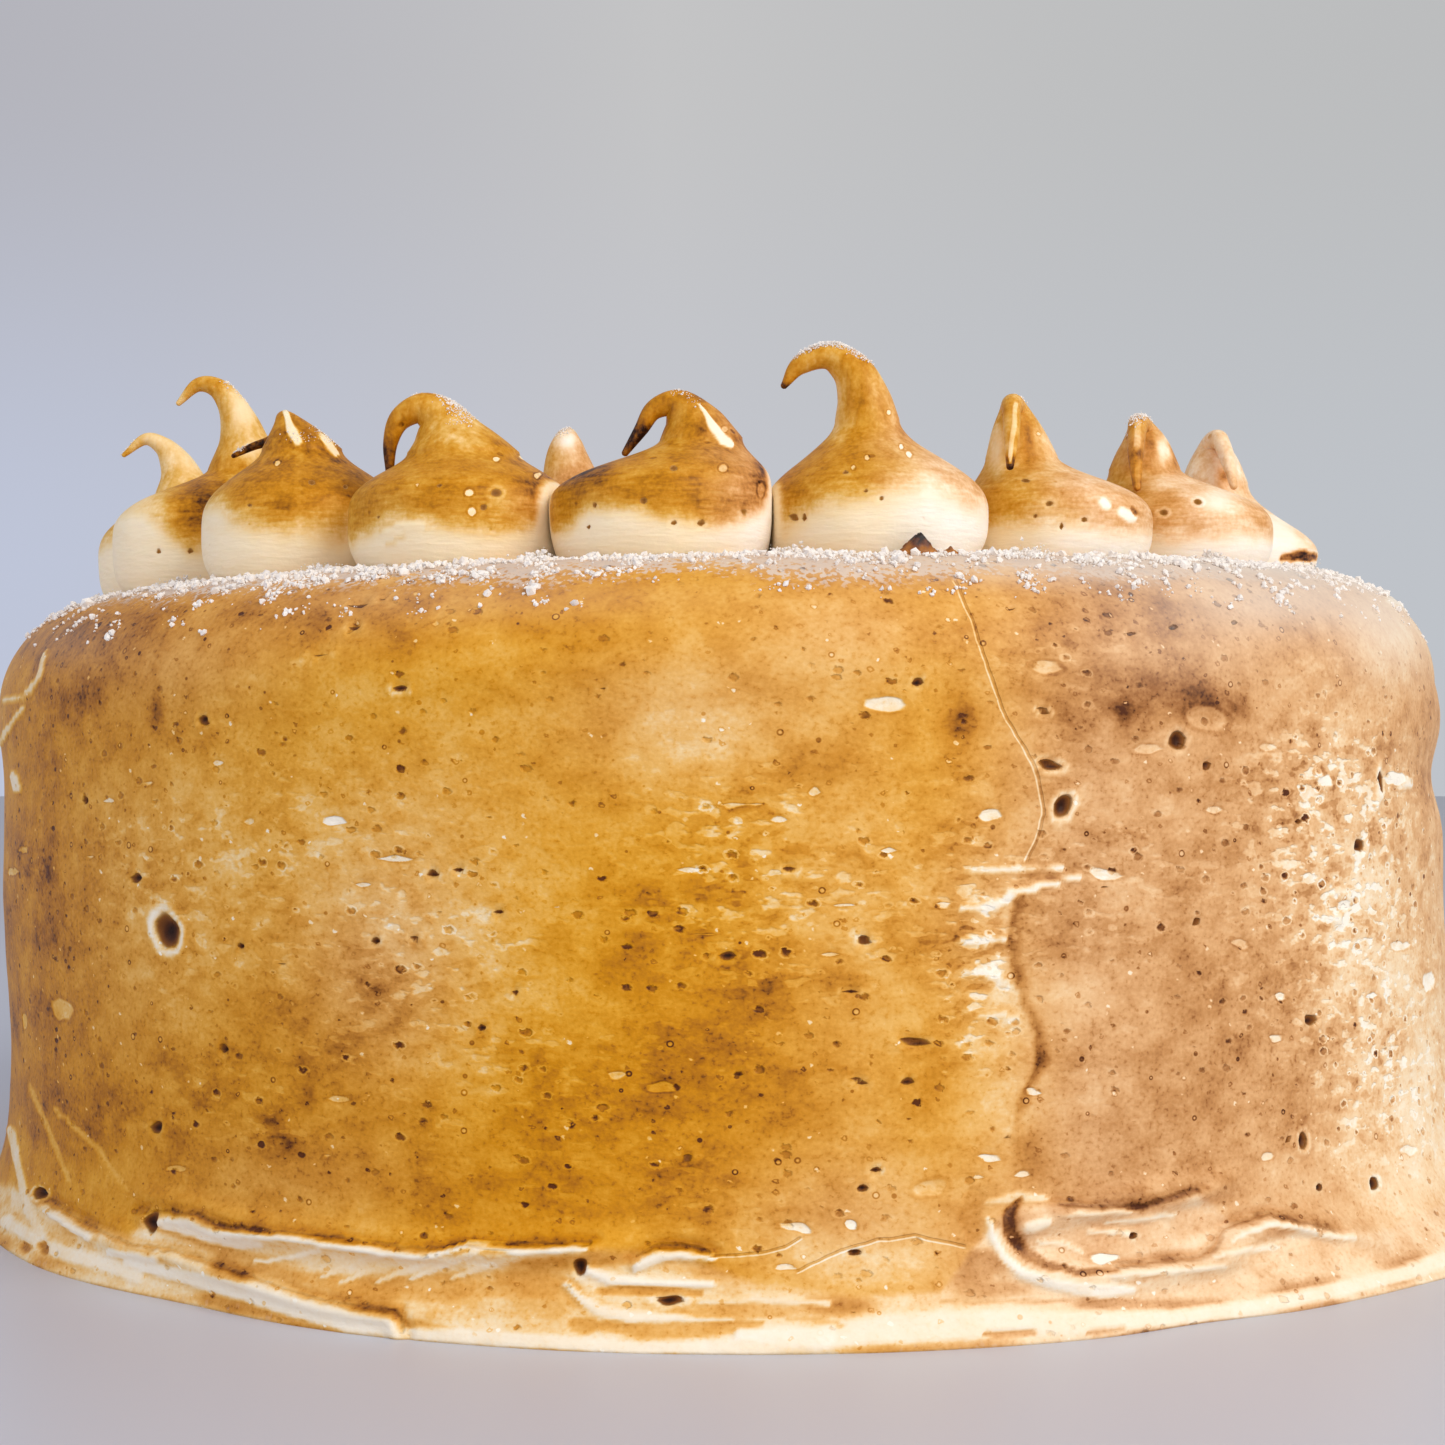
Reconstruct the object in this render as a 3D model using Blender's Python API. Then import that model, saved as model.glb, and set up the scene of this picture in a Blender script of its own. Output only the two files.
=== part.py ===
"""A round torched meringue cake with a ring of piped kisses, modelled in metres, +Z up.

The origin is the middle of the flat foot, on the surface that the cake stands on.
Angles round the cake are in degrees, from the front (-Y) towards the right (+X).
"""

import math
import random

import bmesh
import bpy
from mathutils import Matrix, Vector

MM = 0.001

# The coat of the cake
COAT_RADIUS = 0.122
TOP_HEIGHT = 0.0999
TOP_TILT = 0.0176  # the top rises by this share of the way towards +X
SHOULDER_RADIUS = 0.017
SHOULDER_STEPS = 7
COAT_SEGMENTS = 96

# Slow waves that the spatula left round the wall: how many, where they start, how deep
WALL_WAVES = ((2, 40.0, 0.0005), (3, 100.0, 0.0004), (5, 10.0, 0.0003))

# Swells and hollows of the wall: angle, height, half width in degrees, half height, depth
WALL_SWELLS = (
    (75.0, 0.070, 16.0, 0.006, -0.0018),
    (74.0, 0.090, 14.0, 0.007, -0.0019),
    (-75.0, 0.079, 14.0, 0.007, 0.0011),
    (-78.0, 0.030, 15.0, 0.012, -0.0004),
    (-76.0, 0.055, 15.0, 0.018, 0.0005),
    (152.0, 0.058, 18.0, 0.011, -0.0013),
    (-148.0, 0.043, 18.0, 0.010, 0.0012),
    (178.0, 0.076, 14.0, 0.007, 0.0010),
)

# The coat sags a little towards the foot, and more on +X than on -X
SLUMP_TOP = 0.052
SLUMP = 0.0006
SLUMP_SWAY = 0.0026
SLUMP_CURVE = 1.3

# The foot, where the coat was drawn out over the stand
FOOT_RADIUS = 0.1288
FOOT_SWAY = 0.0036
FOOT_FADE = 0.008
FOOT_CURVE = 1.2
FOOT_LOBES = (
    (-36.0, 8.0, -0.0020),
    (29.0, 5.0, -0.0018),
    (54.0, 8.0, 0.0026),
    (118.0, 14.0, 0.0020),
    (170.0, 16.0, 0.0018),
    (-115.0, 12.0, -0.0015),
)

# Folds of the coat just above the foot: start and end angle, start and end height, bow, rise
FOLD_HALF_WIDTH = 0.0017
FOLD_OVERRUN = 0.15
FOLD_FADE = 0.2
FRONT_FOLDS = (
    (-38.0, -7.0, 0.0122, 0.0120, -0.0016, 0.0014),
    (-44.0, -18.0, 0.0066, 0.0030, 0.0, 0.0013),
    (17.5, 32.0, 0.0140, 0.0164, 0.0006, 0.0015),
    (18.0, 32.0, 0.0085, 0.0072, -0.0010, 0.0014),
    (31.0, 45.0, 0.0085, 0.0062, 0.0030, 0.0014),
)
BACK_FOLD_STARTS = (62.0, 96.0, 128.0, 163.0, 195.0, 222.0, 246.0)
BACK_FOLD_LENGTH = (17.0, 27.0)
BACK_FOLD_HEIGHT = (0.0050, 0.0125)
BACK_FOLD_DROP = (-0.0025, 0.0025)
BACK_FOLD_BOW = (-0.0015, 0.0025)
BACK_FOLD_RISE = (0.0010, 0.0015)

# Rows of the wall: absolute near the foot, then shares of what is left up to the shoulder
FOOT_ROWS = (0.0, 0.002, 0.004, 0.006, 0.008, 0.010, 0.012, 0.014, 0.0165, 0.020)
WALL_ROWS = (0.08, 0.18, 0.29, 0.41, 0.53, 0.65, 0.76, 0.85, 0.93, 1.0)

# Two burnt scraps of meringue stuck to the shoulder: angle, distance out, half width, height
SCRAPS = ((14.1, 0.1078, 0.0026, 0.0030), (16.5, 0.1076, 0.0012, 0.0012))
SCRAP_SIDES = 6
SCRAP_DEPTH = 0.0011
SCRAP_THINNESS = 0.55
SCRAP_POINT = 0.28  # width of the peak as a share of the foot
SCRAP_SKEW = 0.18
SCRAP_JAG = 0.35
SCRAP_ROUGHNESS = 0.7

# The ring of kisses, whose middle is a little to the left of the cake's axis
KISS_COUNT = 19
RING_RADIUS = 0.0903
RING_OFFSET = -0.0015
KISS_STEP = 360.0 / KISS_COUNT
FRONT_KISS = 7
FRONT_KISS_ANGLE = -4.35
GAP = 0.0003
FOOT_TUCK = 0.13  # how much narrower a kiss is at its foot than at its bulge
FOOT_ROUNDING = 2.6
BODY_SEGMENTS = 16
TIP_SEGMENTS = 8
TIP_ROWS = 7
BULGE_ROWS = (0.0, 0.36, 1.0)
NECK_ROWS = (0.30, 0.52, 0.70, 0.85, 1.0)
UPRIGHT_ROWS = 4  # the rings turn from level to square to the tip over so many rows

# The kisses that show from the front, by number: bulge radius, bulge height and fullness of the
# shoulder, then the drawn-out tip from the neck to its end as (towards +X, towards +Y, up,
# half thickness), all but the fullness in millimetres
FRONT_KISSES = {
    3: (15.2, 7.0, 1.8, (
        (-1.0, 0.0, 19.4, 4.9), (-1.5, 0.0, 22.2, 3.6), (-2.7, 0.0, 24.8, 2.6),
        (-4.8, 0.0, 27.4, 1.6), (-7.8, 0.0, 28.6, 1.0), (-11.4, 0.0, 26.0, 0.4))),
    4: (15.6, 7.0, 2.0, (
        (4.8, 0.0, 20.0, 5.6), (4.8, 0.0, 24.5, 3.9), (3.2, 0.0, 29.4, 2.4),
        (0.6, 0.0, 32.8, 1.6), (-2.6, 0.0, 33.4, 1.1), (-5.6, 0.0, 30.6, 0.45))),
    5: (15.0, 7.0, 1.7, (
        (-0.4, 0.0, 20.0, 5.9), (-1.8, 0.0, 22.8, 3.4), (-3.0, 0.6, 24.7, 1.6),
        (-3.8, 3.4, 24.6, 1.2), (-5.8, 5.6, 22.4, 1.0), (-9.0, 5.8, 21.2, 0.85),
        (-11.6, 5.0, 19.8, 0.4))),
    6: (15.9, 7.0, 1.8, (
        (0.4, 0.0, 17.0, 8.0), (-1.3, 0.0, 19.8, 5.2), (-3.0, 0.0, 22.3, 3.2),
        (-5.7, 0.0, 23.5, 2.2), (-8.7, 0.0, 21.9, 1.6), (-10.0, 0.0, 18.6, 1.05),
        (-10.1, 0.0, 15.4, 0.6))),
    7: (15.9, 7.0, 1.7, (
        (5.4, 0.0, 17.6, 5.7), (4.3, 0.0, 20.4, 3.9), (1.9, 0.0, 22.6, 2.1),
        (-1.2, 0.0, 21.7, 1.4), (-3.0, 0.0, 19.0, 1.0), (-5.2, 0.0, 16.2, 0.5))),
    8: (16.0, 6.5, 1.2, (
        (-1.0, 0.0, 20.2, 4.5), (-1.4, 0.0, 23.4, 3.7), (-3.0, 0.0, 27.0, 2.8),
        (-6.4, 0.0, 29.2, 1.9), (-10.4, 0.0, 28.0, 1.35), (-12.6, 0.0, 25.2, 0.5))),
    9: (13.9, 5.0, 1.6, (
        (-5.0, 0.0, 16.0, 5.2), (-5.6, 0.0, 20.0, 3.7), (-6.2, -0.8, 23.0, 2.0),
        (-6.8, -4.0, 22.7, 1.4), (-7.2, -7.0, 18.4, 1.15), (-7.7, -9.2, 13.6, 0.55))),
    10: (14.2, 5.5, 1.55, (
        (-5.3, 0.0, 16.2, 5.4), (-5.2, 0.0, 19.8, 3.8), (-6.0, -0.8, 22.5, 2.0),
        (-7.0, -4.0, 21.9, 1.5), (-7.8, -7.2, 17.6, 1.2), (-8.0, -9.4, 12.4, 0.6))),
    11: (13.4, 4.6, 0.9, (
        (-3.2, 0.0, 16.4, 5.4), (-3.2, 0.0, 19.8, 4.2), (-3.2, -0.6, 22.9, 2.3),
        (-3.0, -4.2, 22.9, 1.5), (-2.4, -7.6, 19.2, 1.2), (-2.0, -9.8, 15.0, 0.6))),
    12: (14.4, 5.2, 1.0, (
        (-1.0, 0.0, 15.6, 5.4), (-1.2, 0.0, 18.6, 4.0), (-1.6, 0.6, 21.3, 2.3),
        (-2.2, 3.6, 21.5, 1.5), (-2.8, 6.6, 18.6, 1.2), (-3.2, 8.6, 14.6, 0.6))),
}

# The other kisses, from rules: spread of the sizes, in millimetres, and how the tips turn over
KISS_BULGE = (14.4, 15.8)
KISS_BULGE_HEIGHT = (5.6, 7.0)
KISS_FULLNESS = (1.3, 2.0)
NECK_HEIGHT = (15.6, 17.0)
NECK_THICKNESS = (4.8, 6.2)
TIP_LENGTH = (12.0, 15.5)
TIP_TURN = (125.0, 195.0)  # degrees from straight up to the direction of the end
TIP_HEADING = (140.0, 215.0)  # degrees from +X, seen from above
TIP_POINTS = 6
TIP_END = 0.5
TIP_START = (-2.0, 1.0)
TIP_TAPER = 1.5
TIP_LEAN_START = 0.1
TIP_LEAN_CURVE = 1.25

# One kiss stands inside the ring, and only its blunt tip shows over the others
INNER_KISS_PLACE = (-0.0230, 0.0020)
INNER_KISS = (14.6, 6.5, 1.5, (
    (-3.0, 0.0, 19.0, 6.2), (-4.0, 0.0, 22.8, 5.0), (-4.6, 0.0, 26.2, 3.9),
    (-4.6, 0.3, 28.9, 2.8), (-4.4, 1.2, 30.2, 1.6), (-4.2, 2.6, 29.8, 0.8)))

# Colours as linear RGB, and roughness
COAT_COLOUR = (0.52, 0.27, 0.09, 1.0)
COAT_ROUGHNESS = 0.55
KISS_COLOUR = (0.66, 0.42, 0.17, 1.0)
KISS_SHADE_STEP = 0.012
KISS_SHADES = 4
KISS_ROUGHNESS = 0.6

RANDOM_SEED = 19


def clear_scene():
    for old in list(bpy.data.objects):
        bpy.data.objects.remove(old, do_unlink=True)


def meringue(name, colour, roughness):
    """Toasted meringue as a plain dielectric of one colour."""
    material = bpy.data.materials.new(name)
    material.use_nodes = True
    shader = material.node_tree.nodes["Principled BSDF"]
    shader.inputs["Base Color"].default_value = colour
    shader.inputs["Roughness"].default_value = roughness
    shader.inputs["Metallic"].default_value = 0.0
    material.diffuse_color = colour
    return material


def add_object(name, bm, material, location):
    """A smooth-shaded object from a closed bmesh, with its faces turned out."""
    bmesh.ops.recalc_face_normals(bm, faces=bm.faces)
    mesh = bpy.data.meshes.new(name)
    bm.to_mesh(mesh)
    bm.free()
    mesh.shade_smooth()
    mesh.materials.append(material)
    piece = bpy.data.objects.new(name, mesh)
    piece.location = location
    bpy.context.scene.collection.objects.link(piece)
    return piece


def round_the_cake(angle, distance, height):
    """The point at this angle in degrees, distance from the axis and height."""
    turn = math.radians(angle)
    return Vector((distance * math.sin(turn), -distance * math.cos(turn), height))


def apart(angle, other):
    """The difference of two angles in degrees, between -180 and 180."""
    return (angle - other + 180.0) % 360.0 - 180.0


def bell(distance, half_width):
    return math.exp(-((distance / half_width) ** 2))


def back_folds():
    """Folds like the front ones, round the sides and the back."""
    rng = random.Random(RANDOM_SEED)
    folds = []
    for start in BACK_FOLD_STARTS:
        length = rng.uniform(*BACK_FOLD_LENGTH)
        low = rng.uniform(*BACK_FOLD_HEIGHT)
        folds.append((start, start + length, low, low + rng.uniform(*BACK_FOLD_DROP),
                      rng.uniform(*BACK_FOLD_BOW), rng.uniform(*BACK_FOLD_RISE)))
    return folds


def fold_rise(angle, height, folds):
    """How far the folds near the foot stand out at this place."""
    rise = 0.0
    for start, end, start_height, end_height, bow, out in folds:
        middle = (start + end) / 2
        share = apart(angle, middle) / (end - start) + 0.5
        if -FOLD_OVERRUN < share < 1.0 + FOLD_OVERRUN:
            along = min(max(share, 0.0), 1.0)
            line = start_height + (end_height - start_height) * along + bow * math.sin(math.pi * along)
            ends = min(1.0, (share + FOLD_OVERRUN) / FOLD_FADE, (1.0 + FOLD_OVERRUN - share) / FOLD_FADE)
            rise += out * ends * bell(height - line, FOLD_HALF_WIDTH)
    return rise


def foot_radius(angle):
    radius = FOOT_RADIUS + FOOT_SWAY * math.sin(math.radians(angle))
    for place, half_width, reach in FOOT_LOBES:
        radius += reach * bell(apart(angle, place), half_width)
    return radius


def wall_radius(angle, height):
    """Distance of the wall from the axis, without the spread foot."""
    radius = COAT_RADIUS
    for count, phase, depth in WALL_WAVES:
        radius += depth * math.sin(math.radians(count * angle + phase))
    for place, level, half_width, half_height, depth in WALL_SWELLS:
        radius += depth * bell(apart(angle, place), half_width) * bell(height - level, half_height)
    if height < SLUMP_TOP:
        slump = SLUMP + SLUMP_SWAY * math.sin(math.radians(angle))
        radius += slump * (1.0 - height / SLUMP_TOP) ** SLUMP_CURVE
    return radius


def coat_radius(angle, height, folds):
    spread = foot_radius(angle) - wall_radius(angle, 0.0)
    radius = wall_radius(angle, height) + spread * math.exp(-((height / FOOT_FADE) ** FOOT_CURVE))
    return radius + fold_rise(angle, height, folds)


def coat_profile(angle, folds):
    """Points of the coat at one angle, from the foot up the wall and over the shoulder."""
    side = round_the_cake(angle, COAT_RADIUS, 0.0)
    wall_top = TOP_HEIGHT + TOP_TILT * side.x - SHOULDER_RADIUS
    heights = list(FOOT_ROWS)
    heights += [FOOT_ROWS[-1] + share * (wall_top - FOOT_ROWS[-1]) for share in WALL_ROWS]
    points = [round_the_cake(angle, coat_radius(angle, height, folds), height) for height in heights]
    inner = coat_radius(angle, wall_top, folds) - SHOULDER_RADIUS
    for step in range(1, SHOULDER_STEPS + 1):
        bend = math.pi / 2 * step / SHOULDER_STEPS
        distance = inner + SHOULDER_RADIUS * math.cos(bend)
        point = round_the_cake(angle, distance, 0.0)
        level = TOP_HEIGHT + TOP_TILT * point.x - SHOULDER_RADIUS
        point.z = level + SHOULDER_RADIUS * math.sin(bend)
        points.append(point)
    return points


def bridge(bm, lower, upper):
    """Quads between two rings with the same number of points."""
    for i in range(len(lower)):
        after = (i + 1) % len(lower)
        bm.faces.new((lower[i], lower[after], upper[after], upper[i]))


def top_level(x):
    return TOP_HEIGHT + TOP_TILT * x


def make_scraps():
    """Small crooked cones that are sunk into the shoulder, in a collection of their own."""
    rng = random.Random(RANDOM_SEED)
    scraps = bpy.data.collections.new("scraps")
    bpy.context.scene.collection.children.link(scraps)
    for number, (angle, distance, half_width, height) in enumerate(SCRAPS):
        bm = bmesh.new()
        bmesh.ops.create_cone(bm, cap_ends=True, segments=SCRAP_SIDES, radius1=half_width,
                              radius2=half_width * SCRAP_POINT, depth=height + SCRAP_DEPTH)
        bmesh.ops.translate(bm, verts=bm.verts, vec=(0.0, 0.0, (height - SCRAP_DEPTH) / 2))
        for vertex in bm.verts:
            vertex.co.y *= SCRAP_THINNESS
            vertex.co.x += rng.uniform(-SCRAP_SKEW, SCRAP_SKEW) * half_width
            if vertex.co.z > 0.0:
                vertex.co.z -= rng.uniform(0.0, SCRAP_JAG) * height
        bmesh.ops.rotate(bm, verts=bm.verts, matrix=Matrix.Rotation(math.radians(angle), 3, "Z"))
        bmesh.ops.triangulate(bm, faces=bm.faces)
        place = round_the_cake(angle, distance, 0.0)
        place.z = top_level(place.x)
        burnt = meringue("burnt_scrap", COAT_COLOUR, SCRAP_ROUGHNESS)
        scrap = add_object("scrap_%d" % (number + 1), bm, burnt, place)
        bpy.context.scene.collection.objects.unlink(scrap)
        scraps.objects.link(scrap)
    return scraps


def make_cake():
    """The coated cake, one solid: flat foot, folded wall, round shoulder and level top."""
    folds = list(FRONT_FOLDS) + back_folds()
    bm = bmesh.new()
    columns = []
    for i in range(COAT_SEGMENTS):
        profile = coat_profile(360.0 * i / COAT_SEGMENTS, folds)
        columns.append([bm.verts.new(point) for point in profile])
    rows = list(zip(*columns))
    for lower, upper in zip(rows, rows[1:]):
        bridge(bm, lower, upper)
    bm.faces.new(tuple(reversed(rows[0])))
    bm.faces.new(rows[-1])
    cake = add_object("cake", bm, meringue("toasted_coat", COAT_COLOUR, COAT_ROUGHNESS), (0.0, 0.0, 0.0))

    scraps = make_scraps()
    fuse = cake.modifiers.new("fuse_scraps", "BOOLEAN")
    fuse.operation = "UNION"
    fuse.operand_type = "COLLECTION"
    fuse.collection = scraps
    fuse.solver = "EXACT"
    bpy.context.view_layer.update()
    fused = bpy.data.meshes.new_from_object(cake.evaluated_get(bpy.context.evaluated_depsgraph_get()))
    cake.modifiers.clear()
    cake.data = fused
    for scrap in list(scraps.objects):
        bpy.data.objects.remove(scrap, do_unlink=True)
    bpy.data.collections.remove(scraps)
    return cake


def body_ring_radius(height, bulge_radius, bulge_height, fullness, neck_height, neck_radius):
    """A kiss is widest at its bulge, tucked in below it and drawn in to the neck above it."""
    if height < bulge_height:
        below = (bulge_height - height) / bulge_height
        return bulge_radius * (1.0 - FOOT_TUCK * below ** FOOT_ROUNDING)
    share = ((height - bulge_height) / (neck_height - bulge_height)) ** fullness
    return neck_radius + (bulge_radius - neck_radius) * (0.5 + 0.5 * math.cos(math.pi * share))


def smooth_through(points, count):
    """Evenly spread points on one smooth curve through the given ones (any number of values)."""
    ends = [[2 * a - b for a, b in zip(points[0], points[1])],
            [2 * a - b for a, b in zip(points[-1], points[-2])]]
    padded = [ends[0]] + [list(point) for point in points] + [ends[1]]
    found = []
    for i in range(count):
        place = i / (count - 1) * (len(points) - 1)
        start = min(int(place), len(points) - 2)
        t = place - start
        four = padded[start:start + 4]
        found.append([
            0.5 * (2 * b + (c - a) * t + (2 * a - 5 * b + 4 * c - d) * t ** 2
                   + (3 * b - a - 3 * c + d) * t ** 3)
            for a, b, c, d in zip(*four)])
    return found


def turned_over_tip(rng):
    """A tip that the nozzle drew up and let fall, for a kiss that doesn't face the front."""
    neck_height = rng.uniform(*NECK_HEIGHT)
    neck_radius = rng.uniform(*NECK_THICKNESS)
    length = rng.uniform(*TIP_LENGTH)
    turn = math.radians(rng.uniform(*TIP_TURN))
    heading = math.radians(rng.uniform(*TIP_HEADING))
    out = rng.uniform(*TIP_START)
    up = neck_height
    points = []
    for i in range(TIP_POINTS):
        along = i / (TIP_POINTS - 1)
        thickness = TIP_END + (neck_radius - TIP_END) * (1.0 - along) ** TIP_TAPER
        points.append((out * math.cos(heading), out * math.sin(heading), up, thickness))
        lean = turn * (along + TIP_LEAN_START) ** TIP_LEAN_CURVE
        out += length / (TIP_POINTS - 1) * math.sin(lean)
        up += length / (TIP_POINTS - 1) * math.cos(lean)
    return tuple(points)


def press_to_neighbours(point, angle):
    """Keeps a point of a kiss on its own side of the flat faces where it meets its neighbours."""
    turn = math.radians(angle)
    outward = Vector((math.sin(turn), -math.cos(turn), 0.0))
    along = Vector((math.cos(turn), math.sin(turn), 0.0))
    half_step = math.radians(KISS_STEP / 2)
    distance = RING_RADIUS + point.dot(outward)
    limit = distance * math.tan(half_step) - GAP / 2 / math.cos(half_step)
    sideways = point.dot(along)
    pressed = min(max(sideways, -limit), limit)
    return point + along * (pressed - sideways)


def kiss_rings(bulge_radius, bulge_height, fullness, tip, angle):
    """The points of each ring of a kiss, from its foot to the end of its tip, in metres."""
    bulge_radius *= MM
    bulge_height *= MM
    tip = [[value * MM for value in point] for point in tip]
    neck = Vector(tip[0][:3])
    neck_radius = tip[0][3]

    heights = [bulge_height * share for share in BULGE_ROWS]
    heights += [bulge_height + (neck.z - bulge_height) * share for share in NECK_ROWS]
    rings = []
    for height in heights:
        radius = body_ring_radius(height, bulge_radius, bulge_height, fullness, neck.z, neck_radius)
        leaning = (bulge_radius - radius) / (bulge_radius - neck_radius) if height > bulge_height else 0.0
        ring = []
        for i in range(BODY_SEGMENTS):
            turn = 2 * math.pi * i / BODY_SEGMENTS
            point = Vector((neck.x * leaning + radius * math.cos(turn),
                            neck.y * leaning + radius * math.sin(turn), height))
            ring.append(point if angle is None else press_to_neighbours(point, angle))
        rings.append(ring)

    path = smooth_through(tip, TIP_ROWS + 1)
    facing = Vector((0.0, 0.0, 1.0))
    across = Vector((1.0, 0.0, 0.0))
    for i in range(1, len(path)):
        centre = Vector(path[i][:3])
        before = Vector(path[i - 1][:3])
        after = Vector(path[min(i + 1, len(path) - 1)][:3])
        upright = max(0.0, 1.0 - i / UPRIGHT_ROWS)
        ahead = (after - before).normalized().lerp(Vector((0.0, 0.0, 1.0)), upright).normalized()
        across = facing.rotation_difference(ahead) @ across
        facing = ahead
        beside = facing.cross(across)
        ring = []
        for j in range(TIP_SEGMENTS):
            turn = 2 * math.pi * j / TIP_SEGMENTS
            ring.append(centre + path[i][3] * (across * math.cos(turn) + beside * math.sin(turn)))
        rings.append(ring)
    return rings


def narrow(bm, wide, slim):
    """Triangles from a ring to one with half as many points."""
    count = len(slim)
    for i in range(count):
        after = (i + 1) % count
        first, middle, last = wide[2 * i], wide[2 * i + 1], wide[2 * after]
        bm.faces.new((first, middle, slim[i]))
        bm.faces.new((middle, slim[after], slim[i]))
        bm.faces.new((middle, last, slim[after]))


def make_kiss(number, place, shape, angle):
    """One piped kiss, standing just clear of the cake's top."""
    bm = bmesh.new()
    rings = []
    for ring in kiss_rings(*shape, angle):
        rings.append([bm.verts.new(point + Vector((0.0, 0.0, TOP_TILT * point.x))) for point in ring])
    bm.faces.new(tuple(reversed(rings[0])))
    for lower, upper in zip(rings, rings[1:]):
        if len(lower) == len(upper):
            bridge(bm, lower, upper)
        else:
            narrow(bm, lower, upper)
    bm.faces.new(rings[-1])
    shade = KISS_SHADE_STEP * (number % KISS_SHADES)
    colour = tuple(value + shade for value in KISS_COLOUR[:3]) + (1.0,)
    name = "kiss_%02d" % number
    stands = (place[0], place[1], top_level(place[0]) + GAP)
    return add_object(name, bm, meringue(name + "_toasted", colour, KISS_ROUGHNESS), stands)


def make_kisses():
    rng = random.Random(RANDOM_SEED)
    for number in range(1, KISS_COUNT + 1):
        angle = FRONT_KISS_ANGLE + KISS_STEP * (number - FRONT_KISS)
        spot = round_the_cake(angle, RING_RADIUS, 0.0)
        piped = (rng.uniform(*KISS_BULGE), rng.uniform(*KISS_BULGE_HEIGHT), rng.uniform(*KISS_FULLNESS),
                 turned_over_tip(rng))
        make_kiss(number, (spot.x + RING_OFFSET, spot.y), FRONT_KISSES.get(number, piped), angle)
    make_kiss(KISS_COUNT + 1, INNER_KISS_PLACE, INNER_KISS, None)


clear_scene()
make_cake()
make_kisses()
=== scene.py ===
import math
import random

import bmesh
import bpy
import numpy as np
from mathutils import Matrix, Vector, noise


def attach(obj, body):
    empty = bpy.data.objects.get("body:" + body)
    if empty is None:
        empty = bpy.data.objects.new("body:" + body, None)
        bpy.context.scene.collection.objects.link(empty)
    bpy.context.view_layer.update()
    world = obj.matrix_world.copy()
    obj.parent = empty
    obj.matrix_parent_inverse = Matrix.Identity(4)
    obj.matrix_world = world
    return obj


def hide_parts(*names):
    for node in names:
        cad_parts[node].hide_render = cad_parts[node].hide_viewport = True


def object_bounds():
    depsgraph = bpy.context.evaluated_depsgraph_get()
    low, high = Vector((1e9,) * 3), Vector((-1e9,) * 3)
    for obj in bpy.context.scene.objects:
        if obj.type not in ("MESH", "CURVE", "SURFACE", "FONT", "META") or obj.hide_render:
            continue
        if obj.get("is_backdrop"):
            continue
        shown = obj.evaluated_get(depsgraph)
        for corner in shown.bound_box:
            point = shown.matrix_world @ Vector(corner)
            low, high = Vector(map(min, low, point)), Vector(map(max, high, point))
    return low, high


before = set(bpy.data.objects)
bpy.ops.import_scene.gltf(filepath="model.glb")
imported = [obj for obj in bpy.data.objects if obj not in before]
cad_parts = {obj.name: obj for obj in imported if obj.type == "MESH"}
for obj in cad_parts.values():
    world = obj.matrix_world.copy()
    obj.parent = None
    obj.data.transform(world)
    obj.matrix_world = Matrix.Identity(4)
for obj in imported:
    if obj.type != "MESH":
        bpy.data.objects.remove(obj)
cad_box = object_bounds()

# ---------------------------------------------------------------------------------------------
# The camera. It stands low in front of the cake, a little below the rim, and looks slightly up.
# Marks on the meringue are given by their place in its 1445 x 1445 picture, in pixels. Lengths are
# in metres and turns in degrees from the front, unless their name or comment says otherwise.

PICTURE = 1445
LENS = 60.0  # mm
SENSOR = 36.0  # mm
EYE_DISTANCE = 0.425
EYE_HEIGHT = 0.075
LOOK_UP = math.radians(0.5)
FOCAL = PICTURE * LENS / SENSOR

camera = bpy.data.objects.new("camera", bpy.data.cameras.new("camera"))
camera.data.lens = LENS
camera.data.sensor_width = SENSOR
camera.location = (0.0, -EYE_DISTANCE, EYE_HEIGHT)
camera.rotation_euler = (math.pi / 2 + LOOK_UP, 0.0, 0.0)
bpy.context.scene.collection.objects.link(camera)
bpy.context.scene.camera = camera


def in_picture(points):
    """Where points of the cake are in the camera's picture, as pixels across and down."""
    depth = points[..., 1] + EYE_DISTANCE
    rise = np.arctan((points[..., 2] - EYE_HEIGHT) / depth) - LOOK_UP
    return PICTURE / 2 + FOCAL * points[..., 0] / depth, PICTURE / 2 - FOCAL * np.tan(rise)


# ---------------------------------------------------------------------------------------------
# The coat: soft Italian meringue, spread over the whole cake with a spatula and browned with a
# torch. Its skin is leathery, pocked by burst bubbles, and folded where the spatula left the foot.

TOP_HEIGHT = 0.0999
TOP_TILT = 0.0176
SHOULDER_RADIUS = 0.017
COAT_RADIUS = 0.122

# The wall isn't quite round. Its waves: how many go round, where they begin, how deep. Its swells:
# turn, height, half width in degrees, half height, how far they stand out.
WALL_WAVES = ((2, 40.0, 0.0005), (3, 100.0, 0.0004), (5, 10.0, 0.0003))
WALL_SWELLS = (
    (75.0, 0.070, 16.0, 0.006, -0.0018),
    (74.0, 0.090, 14.0, 0.007, -0.0019),
    (-75.0, 0.079, 14.0, 0.007, 0.0011),
    (-78.0, 0.030, 15.0, 0.012, -0.0004),
    (-76.0, 0.055, 15.0, 0.018, 0.0005),
    (152.0, 0.058, 18.0, 0.011, -0.0013),
    (-148.0, 0.043, 18.0, 0.010, 0.0012),
    (178.0, 0.076, 14.0, 0.007, 0.0010),
)

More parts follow.
